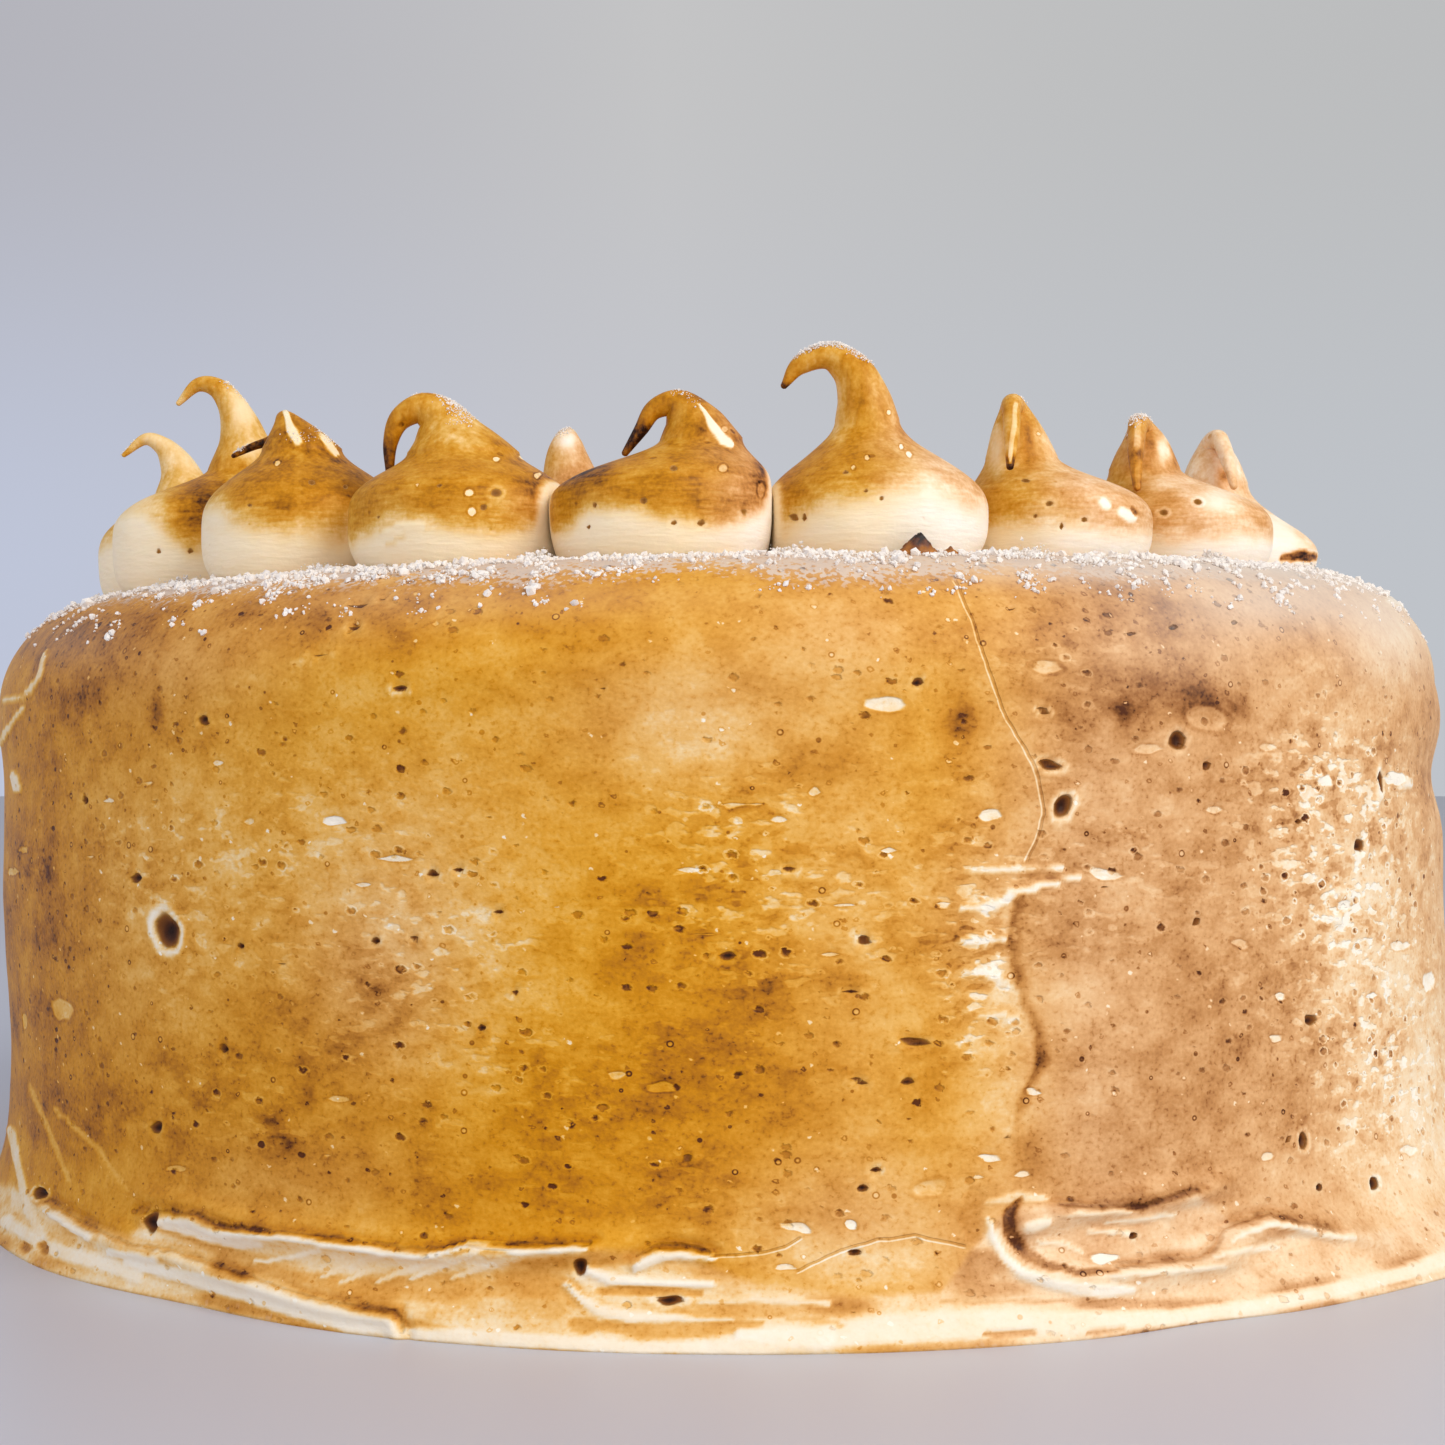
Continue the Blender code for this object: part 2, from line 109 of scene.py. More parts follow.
# The soft meringue sags below this height, more on the right, and its foot is drawn out in lobes:
# turn, half width in degrees, how far out
SLUMP_TOP = 0.052
SLUMP = 0.0006
SLUMP_SWAY = 0.0026
SLUMP_CURVE = 1.3
FOOT_RADIUS = 0.1288
FOOT_SWAY = 0.0036
FOOT_FADE = 0.008
FOOT_CURVE = 1.2
FOOT_LOBES = (
    (-36.0, 8.0, -0.0020),
    (29.0, 5.0, -0.0018),
    (54.0, 8.0, 0.0026),
    (118.0, 14.0, 0.0020),
    (170.0, 16.0, 0.0018),
    (-115.0, 12.0, -0.0015),
)

# The folds near the foot: turn of one end and of the other, their heights, bow, how far out
FOLD_HALF_WIDTH = 0.0017
FOLD_OVERRUN = 0.15
FOLD_TAPER = 0.2
FRONT_FOLDS = (
    (-38.0, -7.0, 0.0122, 0.0120, -0.0016, 0.0014),
    (-44.0, -18.0, 0.0066, 0.0030, 0.0, 0.0013),
    (17.5, 32.0, 0.0140, 0.0164, 0.0006, 0.0015),
    (18.0, 32.0, 0.0085, 0.0072, -0.0010, 0.0014),
    (31.0, 45.0, 0.0085, 0.0062, 0.0030, 0.0014),
)
BACK_FOLD_STARTS = (62.0, 96.0, 128.0, 163.0, 195.0, 222.0, 246.0)
BACK_FOLD_LENGTH = (17.0, 27.0)
BACK_FOLD_HEIGHT = (0.0050, 0.0125)
BACK_FOLD_RISE = (-0.0025, 0.0025)
BACK_FOLD_BOW = (-0.0015, 0.0025)
BACK_FOLD_OUT = (0.0010, 0.0015)
FOLD_SEED = 19


def apart(angle, other):
    """The turn from one angle to another, from -180 to 180 degrees."""
    return (angle - other + 180.0) % 360.0 - 180.0


def bell(distance, half_width):
    """1 at no distance, falling smoothly to nothing."""
    return np.exp(-((distance / half_width) ** 2))


def ease(low, high, value):
    """0 below low, 1 above high and smooth between."""
    share = np.clip((value - low) / (high - low), 0.0, 1.0)
    return share * share * (3.0 - 2.0 * share)


def back_folds():
    """The folds on the side that the picture doesn't show, by chance."""
    rng = random.Random(FOLD_SEED)
    folds = []
    for start in BACK_FOLD_STARTS:
        length = rng.uniform(*BACK_FOLD_LENGTH)
        low = rng.uniform(*BACK_FOLD_HEIGHT)
        folds.append((start, start + length, low, low + rng.uniform(*BACK_FOLD_RISE),
                      rng.uniform(*BACK_FOLD_BOW), rng.uniform(*BACK_FOLD_OUT)))
    return folds


all_folds = list(FRONT_FOLDS) + back_folds()


def wall_radius(angle, height):
    """How far the wall is from the axis, without its foot and folds."""
    radius = COAT_RADIUS + 0.0 * angle
    for count, phase, depth in WALL_WAVES:
        radius = radius + depth * np.sin(np.radians(count * angle + phase))
    for place, level, half_width, half_height, depth in WALL_SWELLS:
        radius = radius + depth * bell(apart(angle, place), half_width) * bell(height - level, half_height)
    slump = SLUMP + SLUMP_SWAY * np.sin(np.radians(angle))
    return radius + slump * np.clip(1.0 - height / SLUMP_TOP, 0.0, 1.0) ** SLUMP_CURVE


def coat_radius(angle, height):
    """How far the coat is from the axis, with its foot and folds."""
    foot = FOOT_RADIUS + FOOT_SWAY * np.sin(np.radians(angle))
    for place, half_width, reach in FOOT_LOBES:
        foot = foot + reach * bell(apart(angle, place), half_width)
    spread = foot - wall_radius(angle, 0.0 * height)
    radius = wall_radius(angle, height) + spread * np.exp(-((height / FOOT_FADE) ** FOOT_CURVE))
    for start, end, start_height, end_height, bow, out in all_folds:
        share = apart(angle, (start + end) / 2) / (end - start) + 0.5
        along = np.clip(share, 0.0, 1.0)
        line = start_height + (end_height - start_height) * along + bow * np.sin(math.pi * along)
        inwards = np.minimum(share, 1.0 - share) + FOLD_OVERRUN
        ends = np.clip(inwards / FOLD_TAPER, 0.0, 1.0)
        radius = radius + out * ends * bell(height - line, FOLD_HALF_WIDTH)
    return radius


def grain(points, size, flatness=1.0, shift=0.0):
    """Noise between about -1 and 1, with lumps of this size, this many times as wide as tall."""
    scaled = points / size * np.array((1.0, 1.0, flatness)) + shift
    values = np.array([noise.noise(Vector(point)) for point in scaled.reshape(-1, 3)])
    return values.reshape(points.shape[:-1])


# The grid of the coat: rings from the foot up the wall, round the shoulder and in over the top,
# with columns and rows closer together where the front and the foot show fine detail
FRONT_TURN = 80.0
FRONT_STEP = 0.2
BACK_STEP = 1.25
FOOT_BAND = 0.020
FOOT_ROWS = 52
WALL_ROWS = 94
SHOULDER_ROWS = 28
TOP_SHARES = (0.985, 0.97, 0.95, 0.93, 0.91, 0.88, 0.84, 0.8, 0.72, 0.6, 0.45, 0.3, 0.15, 0.02)

turns = np.concatenate((
    np.arange(-FRONT_TURN, FRONT_TURN, FRONT_STEP),
    np.arange(FRONT_TURN, 360.0 - FRONT_TURN, BACK_STEP)))
sine, cosine = np.sin(np.radians(turns)), np.cos(np.radians(turns))
wall_top = TOP_HEIGHT + TOP_TILT * COAT_RADIUS * sine - SHOULDER_RADIUS
spots, outs, unrolled = [], [], []


def ring_at(reach, height):
    """A point for every turn, this far from the axis and this high."""
    return np.stack((reach * sine, -reach * cosine, height + 0.0 * sine), axis=1)


for row in range(FOOT_ROWS + WALL_ROWS):
    if row < FOOT_ROWS:
        heights = FOOT_BAND * row / FOOT_ROWS + 0.0 * turns
    else:
        heights = FOOT_BAND + (wall_top - FOOT_BAND) * (row - FOOT_ROWS) / (WALL_ROWS - 1)
    spots.append(ring_at(coat_radius(turns, heights), heights))
    outs.append(ring_at(1.0, 0.0))
    unrolled.append(heights)
inner = coat_radius(turns, wall_top) - SHOULDER_RADIUS
for bend in np.linspace(0.0, math.pi / 2, SHOULDER_ROWS + 1)[1:]:
    reach = inner + SHOULDER_RADIUS * math.cos(bend)
    level = TOP_HEIGHT + TOP_TILT * reach * sine - SHOULDER_RADIUS
    spots.append(ring_at(reach, level + SHOULDER_RADIUS * math.sin(bend)))
    outs.append(ring_at(math.cos(bend), math.sin(bend)))
    unrolled.append(wall_top + SHOULDER_RADIUS * bend)
for share in TOP_SHARES:
    reach = inner * share
    spots.append(ring_at(reach, TOP_HEIGHT + TOP_TILT * reach * sine))
    outs.append(ring_at(0.0, 1.0))
    unrolled.append(wall_top + SHOULDER_RADIUS * math.pi / 2 + inner * (1.0 - share))
spots, outs, unrolled = np.array(spots), np.array(outs), np.array(unrolled) * 1000.0
angle = np.broadcast_to(apart(turns, 0.0), unrolled.shape)

# The picture place of every point, with edges of marks made ragged by a few pixels. The marks of
# the picture fade out towards the back, and inwards on the top, measured in mm up the unrolled coat.
RAGGED = 3.0
FADE_TURN = (75.0, 100.0)
FADE_INWARDS = (107.0, 111.0)
seen_x, seen_y = in_picture(spots)
in_front = (1.0 - ease(*FADE_TURN, np.abs(angle))) * (1.0 - ease(*FADE_INWARDS, unrolled))
behind = 1.0 - in_front
ragged_x = seen_x + RAGGED * grain(spots, 0.0021, 1.3, 61.0)
ragged_y = seen_y + RAGGED * grain(spots, 0.0021, 1.3, 71.0)

# Where the wall is browner (+) or paler (-) than the rest: picture place, half sizes, strength
WALL_TONE_MARKS = (
    (110, 720, 90, 70, 0.12), (40, 940, 70, 250, 0.18), (300, 840, 120, 70, -0.14),
    (480, 970, 120, 110, -0.11), (250, 1090, 160, 80, 0.10), (690, 720, 60, 60, -0.16),
    (90, 640, 90, 44, 0.10), (690, 1060, 130, 150, 0.11), (560, 1180, 120, 50, 0.10),
    (840, 860, 90, 110, -0.04), (860, 630, 110, 60, -0.08), (962, 718, 22, 36, 0.14),
    (1130, 690, 95, 50, 0.10), (1230, 650, 60, 40, -0.04), (1230, 820, 70, 70, 0.05),
    (1090, 1070, 80, 110, -0.05), (985, 1000, 26, 110, -0.18), (930, 860, 60, 60, 0.05),
    (1350, 880, 50, 150, -0.26), (1425, 1080, 60, 170, -0.34), (1330, 610, 110, 44, -0.06),
    (560, 800, 120, 60, -0.05), (560, 1110, 160, 70, 0.05), (220, 1160, 160, 40, 0.06),
    (275, 1118, 44, 36, -0.12), (800, 1160, 80, 50, 0.06), (1300, 1110, 70, 60, 0.06),
    (390, 1190, 80, 40, 0.06), (700, 1200, 260, 40, 0.04), (100, 1060, 80, 80, 0.04),
    (530, 720, 70, 50, -0.09), (670, 790, 70, 50, -0.08), (670, 870, 70, 50, -0.05),
    (1230, 980, 80, 200, 0.07), (950, 1040, 60, 140, 0.05), (900, 1190, 90, 40, -0.10),
    (1290, 1160, 70, 60, -0.10), (720, 600, 300, 20, -0.10), (1180, 800, 60, 60, -0.06),
    (150, 960, 80, 60, -0.06), (560, 760, 90, 60, 0.10), (1030, 1160, 26, 40, 0.14),
    (650, 900, 90, 60, 0.06), (1395, 640, 40, 40, -0.30), (350, 1030, 90, 40, 0.06),
    (820, 1010, 80, 50, 0.06), (1240, 900, 60, 60, -0.04), (880, 960, 60, 90, -0.10),
    (780, 1110, 60, 40, 0.06), (60, 1110, 60, 50, 0.06), (850, 1262, 120, 36, -0.24),
    (470, 760, 50, 60, -0.06), (1230, 730, 70, 70, 0.05), (1425, 1190, 60, 80, -0.10),
)

# Where the skin is torn into small flakes and pocks: picture place, half sizes, strength
ROUGH_MARKS = (
    (755, 880, 90, 110, 0.8), (440, 950, 120, 120, 0.5), (1340, 880, 80, 160, 1.1),
    (210, 880, 150, 130, 0.4), (975, 950, 40, 110, 1.0), (250, 1100, 150, 70, 0.25),
    (1100, 880, 100, 100, 0.4), (640, 1180, 200, 50, 0.3), (1060, 640, 90, 50, 0.4),
    (880, 900, 70, 100, 0.3), (560, 1060, 120, 60, 0.3), (1385, 1090, 60, 90, 0.8),
    (1290, 800, 60, 60, 0.5),
)

# The upper edge of the bare meringue near the foot, from left to right in the picture
BARE_EDGE = (
    (-400, 1170), (0, 1180), (49, 1198), (92, 1226), (128, 1236), (150, 1214), (196, 1216), (226, 1228),
    (263, 1233), (352, 1242), (438, 1250), (587, 1246), (680, 1252), (760, 1286), (850, 1296),
    (940, 1290), (985, 1232), (1010, 1208), (1062, 1205), (1145, 1208), (1195, 1191), (1235, 1225),
    (1275, 1217), (1331, 1230), (1370, 1236), (1445, 1205), (1900, 1180),
)

# The strokes that the spatula drew, most of them along the foot, and on the tongue at the right a painted
# highlight and a crescent of burnt edge and painted shade: how torched each is, and its points with its
# half width there
SMEARS = (
    (0.40, ((0, 1215, 12), (60, 1240, 14), (130, 1262, 12), (230, 1290, 8))),
    (0.07, ((130, 1262, 4), (200, 1280, 8), (250, 1293, 10), (300, 1308, 11), (350, 1321, 11),
            (394, 1327, 9))),
    (0.16, ((8, 1222, 7), (40, 1240, 7), (70, 1254, 8), (110, 1264, 8), (140, 1276, 7))),
    (0.08, ((50, 1211, 3), (92, 1236, 5))),
    (0.08, ((113, 1252, 4), (156, 1260, 4))),
    (0.22, ((12, 1130, 4), (18, 1161, 4), (28, 1207, 5), (46, 1238, 6))),
    (0.78, ((25, 1247, 5), (27, 1248, 5))),
    (0.78, ((45, 1246, 5), (47, 1250, 5))),
    (0.30, ((255, 1244, 6), (300, 1252, 9), (350, 1261, 10), (400, 1268, 9), (450, 1266, 8),
            (500, 1258, 6))),
    (0.60, ((240, 1262, 4), (306, 1282, 10), (380, 1290, 14), (460, 1288, 16), (540, 1282, 15),
            (572, 1290, 11))),
    (0.08, ((166, 1223, 6), (190, 1227, 9), (214, 1236, 8), (240, 1243, 6), (262, 1244, 4))),
    (0.24, ((322, 1278, 2), (348, 1266, 3.5), (383, 1254, 4.5))),
    (0.26, ((340, 1284, 2), (372, 1269, 3.5), (415, 1258, 4.5))),
    (0.22, ((378, 1282, 2), (410, 1270, 3.5), (445, 1259, 4.5))),
    (0.18, ((410, 1280, 2), (438, 1268, 3.5), (470, 1255, 4), (486, 1245, 2.5))),
    (0.26, ((452, 1278, 2), (480, 1268, 3), (520, 1257, 4))),
    (0.42, ((410, 1314, 6), (480, 1308, 12), (560, 1308, 12))),
    (0.14, ((255, 1262, 2), (290, 1258, 2.5), (320, 1250, 2.5))),
    (0.02, ((171, 1220, 2), (214, 1233, 3), (254, 1236, 3), (291, 1238, 3), (331, 1244, 3), (383, 1252, 3),
            (428, 1257, 3), (471, 1244, 3), (526, 1251, 3), (587, 1248, 3))),
    (0.38, ((1125, 1292, 8), (1200, 1284, 16), (1280, 1266, 20), (1360, 1252, 18), (1445, 1222, 20))),
    (0.13, ((400, 1333, 5), (480, 1336, 9), (560, 1342, 8), (640, 1348, 7), (700, 1347, 7), (760, 1345, 10),
            (820, 1338, 13), (850, 1333, 14), (900, 1328, 17), (960, 1325, 17), (1030, 1322, 14),
            (1100, 1322, 12), (1170, 1318, 9), (1250, 1307, 8), (1330, 1291, 8), (1400, 1273, 8),
            (1445, 1258, 9))),
    (0.03, ((587, 1270, 4), (610, 1279, 6), (633, 1283, 6), (670, 1284, 5), (713, 1284, 3))),
    (0.05, ((636, 1268, 4), (655, 1258, 6), (680, 1255, 4), (714, 1258, 2))),
    (0.12, ((566, 1284, 3), (584, 1300, 5), (600, 1310, 6), (633, 1317, 7), (694, 1321, 6),
            (730, 1322, 4))),
    (0.64, ((600, 1291, 4), (640, 1291, 5), (676, 1293, 5), (700, 1294, 3))),
    (0.50, ((690, 1308, 5), (740, 1309, 9), (792, 1312, 6))),
    (0.20, ((700, 1302, 2), (760, 1300, 2), (830, 1303, 2.5))),
    (0.42, ((788, 1318, 3), (815, 1318, 4), (842, 1326, 2))),
    (0.60, ((576, 1325, 7), (584, 1327, 9), (592, 1326, 7))),
    (0.60, ((600, 1325, 4), (640, 1331, 9), (700, 1330, 9), (760, 1325, 4))),
    (0.05, ((740, 1334, 6), (790, 1336, 10), (826, 1338, 10))),
    (0.60, ((985, 1334, 3), (1010, 1335, 4), (1034, 1333, 3))),
    (0.54, ((1088, 1333, 3), (1108, 1331, 4), (1124, 1328, 2))),
    (0.52, ((940, 1302, 1.5), (1000, 1302, 2.5), (1077, 1301, 1.5))),
    (0.66, ((975, 1196, 10), (970, 1215, 12), (974, 1236, 8))),
    (0.30, ((988, 1202, 3), (1020, 1196, 5), (1046, 1199, 3))),
    (0.46, ((1035, 1232, 14), (1080, 1238, 20), (1130, 1236, 21), (1180, 1226, 18), (1215, 1215, 12))),
    # A painted highlight at the left end of the tongue
    (0.14, ((1030, 1228, 7), (1045, 1222, 6))),
    (0.18, ((1036, 1241, 2), (1060, 1243, 3), (1082, 1252, 2))),
    (0.14, ((1088, 1232, 2), (1110, 1232, 3), (1135, 1236, 2))),
    (0.14, ((1105, 1223, 2), (1140, 1219, 3), (1175, 1215, 2))),
    (0.20, ((1060, 1214, 1.5), (1100, 1212, 2.5), (1130, 1211, 1.5))),
    (0.03, ((988, 1219, 2), (993, 1238, 4), (1002, 1256, 5), (1022, 1273, 6), (1059, 1286, 6),
            (1100, 1291, 8), (1132, 1290, 4))),
    # The dark crescent at the left end of the tongue: burnt edge and painted shade
    (0.80, ((1013, 1236, 7), (1024, 1252, 7), (1045, 1265, 5), (1080, 1273, 4), (1115, 1271, 3))),
    (0.95, ((1020, 1200, 3), (1010, 1214, 7), (1011, 1232, 9), (1020, 1246, 6))),
    (0.16, ((1112, 1275, 2), (1160, 1271, 4), (1223, 1267, 3))),
    (0.14, ((1212, 1255, 2), (1245, 1250, 4), (1278, 1248, 1.5))),
    (0.10, ((1230, 1240, 2), (1250, 1230, 4), (1270, 1223, 4), (1294, 1227, 3), (1319, 1235, 3),
            (1352, 1238, 3))),
    (0.0, ((1008, 894, 4.5), (1040, 886, 3.5), (1080, 877, 1))),
    (0.08, ((958, 869, 1.5), (1005, 868, 2), (1062, 867, 1))),
    (0.12, ((960, 908, 2), (985, 906, 4), (1007, 903, 3))),
    (0.10, ((955, 938, 2), (985, 942, 4), (1003, 938, 3))),
    (0.16, ((962, 972, 1.5), (990, 975, 4), (1008, 985, 3))),
    (0.20, ((965, 1012, 2), (1000, 1015, 3), (1020, 1022, 2))),
    (0.22, ((4, 700, 2), (26, 694, 3), (40, 676, 3), (44, 655, 2))),
    (0.24, ((0, 742, 3), (10, 726, 3), (24, 706, 2))),
    (0.16, ((14, 776, 4), (18, 788, 5))),
    (0.10, ((1390, 601, 4), (1412, 606, 6))),
    (0.54, ((56, 1108, 2), (100, 1150, 3), (128, 1190, 2))),
    (0.54, ((30, 1085, 2), (58, 1150, 3), (70, 1180, 2))),
    (0.18, ((1378, 768, 2), (1380, 790, 4), (1376, 806, 2))),
    (0.06, ((1392, 777, 5), (1406, 783, 6))),
    (0.12, ((1316, 775, 3), (1326, 783, 7))),
    (0.10, ((1338, 892, 4), (1348, 898, 5))),
    (0.10, ((1330, 918, 4), (1338, 921, 4))),
)

# Pits where a bubble burst and caught fire, dark inside with a pale rim: picture place, width,
# height, lean in degrees, how pale the rim is
BURNT_PITS = (
    (167, 931, 22, 33, 14, 1.1), (1178, 741, 17, 17, 0, 0.3), (1050, 765, 24, 11, -10, 0.7),
    (1064, 806, 16, 24, -25, 1.0), (1044, 710, 14, 7, -15, 0.6), (915, 1042, 34, 8, 0, 0.2),
    (865, 941, 15, 10, 0, 0.3), (852, 993, 22, 4, 0, 0.4), (859, 1081, 20, 6, 0, 0.3),
    (907, 1081, 14, 8, 0, 0.3), (728, 956, 18, 8, 0, 0.4), (789, 870, 14, 7, 0, 0.5),
    (739, 1075, 10, 7, 0, 0.3), (1311, 1020, 12, 12, 0, 0.2), (203, 720, 10, 12, 60, 0.3),
    (136, 878, 11, 9, 0, 0.2), (157, 1127, 11, 11, 0, 0.2), (41, 1194, 12, 10, 0, 0.9),
    (153, 1223, 11, 22, -15, 0.3), (580, 1266, 13, 16, 0, 0.2), (670, 1301, 26, 9, -5, 0.4),
    (918, 682, 13, 7, 0, 0.3), (1207, 767, 8, 8, 0, 0.1), (1300, 822, 10, 6, 0, 0.4),
    (1302, 1141, 10, 18, 0, 0.7), (1289, 1139, 6, 6, 0, 0.3), (1374, 1184, 8, 13, 0, 0.6),
    (1319, 1187, 6, 7, 0, 0.2), (1133, 1236, 10, 5, 0, 0.3), (877, 1170, 13, 6, 0, 0.5),
    (864, 1189, 12, 7, 0, 0.3), (855, 1253, 16, 6, 0, 0.3), (688, 1158, 12, 9, 0, 0.2),
    (1010, 1135, 14, 6, 15, 0.2), (240, 945, 8, 7, 0, 0.2), (498, 912, 10, 5, 0, 0.3),
    (515, 994, 8, 7, 0, 0.2), (312, 658, 30, 5, 8, 0.4), (350, 628, 20, 5, 12, 0.4),
    (399, 690, 15, 7, 0, 0.6), (366, 602, 40, 4, 12, 0.3), (604, 690, 9, 5, 0, 0.3),
    (433, 874, 13, 6, 0, 0.3), (458, 871, 11, 5, 0, 0.4), (414, 939, 12, 6, 0, 0.2),
    (376, 940, 9, 7, 0, 0.2), (281, 966, 10, 5, 0, 0.2), (84, 800, 8, 8, 0, 0.1),
    (1105, 885, 9, 4, 0, 0.2), (1197, 922, 8, 8, 0, 0.1), (1131, 631, 12, 5, 0, 0.3),
    (1175, 625, 9, 5, 0, 0.2), (1235, 621, 8, 6, 0, 0.2), (1026, 637, 20, 3, 0, 0.2),
    (1045, 644, 20, 3, 0, 0.2), (1007, 609, 20, 3, 0, 0.2), (480, 1027, 7, 7, 0, 0.1),
    (1360, 846, 10, 14, 0, 0.4), (1380, 781, 6, 22, 5, 0.5), (225, 1049, 9, 9, 0, 0.1),
)

# Burst blisters that show cream meringue: picture place, width, height, lean, how pale the floor is
BARE_OVALS = (
    (886, 704, 40, 15, 0, 0.8), (1047, 667, 30, 13, -5, 0.5), (333, 820, 26, 9, -8, 1.0),
    (395, 859, 38, 6, -5, 0.9), (617, 1075, 18, 9, 0, 0.6), (661, 1088, 30, 11, 0, 0.4),
    (1033, 1091, 17, 9, 0, 1.0), (990, 1158, 26, 8, -3, 0.9), (851, 1225, 14, 9, -15, 1.1),
    (797, 1228, 34, 8, -10, 0.7), (930, 1188, 34, 17, 10, 0.26), (62, 1009, 24, 19, -40, 0.6),
    (1281, 997, 12, 9, -15, 0.9), (1276, 1038, 12, 7, 15, 0.9), (1105, 874, 36, 10, -8, 0.8),
    (990, 815, 24, 13, 0, 0.9), (815, 792, 12, 8, 0, 0.7), (742, 806, 54, 5, 0, 0.7),
    (779, 820, 20, 8, 0, 0.7), (1206, 718, 40, 24, -15, 0.24), (1213, 810, 18, 9, 0, 0.5),
    (1148, 749, 34, 9, 5, 0.4), (145, 784, 16, 6, 0, 0.7), (107, 800, 13, 5, 0, 0.7),
    (218, 763, 9, 7, 0, 0.6), (88, 858, 14, 5, 0, 0.7), (340, 1098, 22, 7, 0, 0.5),
    (176, 1168, 18, 6, 0, 0.5), (363, 884, 16, 5, 0, 0.7), (1240, 944, 20, 8, -20, 0.4),
    (250, 820, 14, 6, 0, 0.4), (1270, 748, 18, 7, -20, 0.4), (1105, 1259, 32, 10, 0, 1.0),
    (1343, 905, 14, 10, 0, 0.9), (1400, 946, 20, 9, 0, 0.7), (1428, 982, 11, 20, 0, 0.9),
    (1371, 996, 13, 6, 0, 0.9), (1395, 778, 24, 12, 0, 0.9), (1323, 781, 16, 12, 0, 0.9),
    (1408, 1150, 18, 10, 0, 0.5), (1268, 1157, 12, 8, 0, 0.7), (1022, 1173, 20, 7, 12, 0.9),
    (975, 1175, 22, 5, 0, 0.6), (330, 1158, 16, 5, 0, 0.5), (945, 905, 20, 6, 0, 0.7),
    (786, 1267, 20, 6, 0, 0.7), (436, 623, 8, 8, 0, 0.4), (25, 850, 10, 7, 0, 0.6),
    (13, 872, 14, 8, 0, 0.7), (25, 1021, 6, 14, 0, 0.6), (560, 905, 20, 4, 0, 0.6),
    (690, 870, 26, 5, 0, 0.6), (845, 905, 22, 5, 0, 0.7), (890, 850, 18, 6, 0, 0.7),
    (705, 935, 24, 4, 0, 0.5), (830, 955, 20, 5, 0, 0.6), (525, 1010, 18, 4, 0, 0.4),
)

# Where the golden skin is paler and pinker: picture place, half sizes, strength
PEACH_MARKS = (
    (690, 710, 140, 80, 0.40), (430, 800, 130, 80, 0.12), (150, 650, 130, 60, 0.35),
    (860, 950, 100, 330, 0.25), (380, 1010, 80, 100, 0.25), (340, 600, 130, 40, 0.40),
    (860, 1230, 140, 70, 0.45), (300, 1180, 120, 50, 0.25), (120, 900, 150, 230, 0.25),
    (390, 930, 100, 100, 0.35), (860, 620, 120, 60, 0.35),
)

# Where a thin even veil of sugar greys the skin: picture place, half sizes, strength
HAZE_MARKS = (
    (1300, 596, 130, 36, 0.70), (1395, 630, 50, 50, 0.50), (1080, 568, 190, 18, 0.45),
    (60, 640, 60, 30, 0.15), (1190, 650, 90, 50, 0.16), (520, 596, 200, 24, 0.14),
)

# Soft scorches without an edge: picture place, half sizes, strength. The second, above the blister at
# the upper right, is a painted shadow.
SCORCHES = (
    (1123, 715, 11, 22, 0.26), (1192, 695, 34, 18, 0.18), (963, 718, 12, 22, 0.20),
    (156, 712, 7, 20, 0.26), (82, 690, 40, 20, 0.10), (966, 778, 14, 8, 0.20), (1175, 787, 18, 7, 0.22),
    (1110, 1165, 60, 20, 0.06), (690, 1165, 30, 12, 0.10), (640, 1210, 60, 10, 0.10),
    (1170, 1105, 50, 20, 0.06), (760, 985, 40, 26, 0.05), (226, 847, 12, 7, 0.20),
    (359, 980, 10, 7, 0.18), (198, 975, 8, 6, 0.20), (225, 1049, 10, 10, 0.20), (520, 1120, 60, 20, 0.08),
    (1239, 712, 12, 16, 0.12), (1360, 845, 12, 12, 0.20), (1300, 1141, 14, 22, 0.12),
    (470, 700, 60, 14, 0.08), (700, 1030, 60, 26, 0.06), (640, 1100, 40, 24, 0.06),
    (300, 1150, 90, 14, 0.08),
)

# Long thin marks: the cracks of the skin, and the lips of the folds, burnt and with painted shade under them
CRACKS = (
    ((955, 584), (972, 623), (988, 674), (1004, 718), (1023, 749), (1036, 775), (1042, 813), (1036, 838),
     (1026, 857)),
    ((713, 1258), (755, 1256), (786, 1250), (798, 1242)),
    ((801, 1271), (841, 1253), (878, 1242), (915, 1238), (960, 1247)),
)
LIPS = (
    ((150, 1212), (171, 1212), (196, 1216), (226, 1228), (263, 1232), (306, 1235), (352, 1241), (398, 1248),
     (438, 1249), (465, 1243), (500, 1246), (540, 1245), (587, 1243)),
    ((49, 1201), (92, 1228), (128, 1244), (171, 1250), (214, 1265), (260, 1281), (306, 1297), (352, 1308),
     (395, 1311), (402, 1328)),
    ((1062, 1205), (1099, 1207), (1145, 1208), (1164, 1200), (1195, 1191)),
    ((1121, 1267), (1161, 1262), (1201, 1258), (1214, 1245), (1223, 1230), (1245, 1221), (1269, 1214),
     (1309, 1223), (1331, 1230)),
    ((640, 1255), (655, 1248), (680, 1247), (705, 1252)),
)

# The seam on the right, where one stroke of the spatula ends over the one before it
SEAM = (
    (1006, 850), (1012, 893), (1006, 926), (1010, 964), (1020, 1002), (1033, 1030), (1037, 1060),
    (1022, 1090), (1012, 1120), (1010, 1160), (1014, 1190),
)

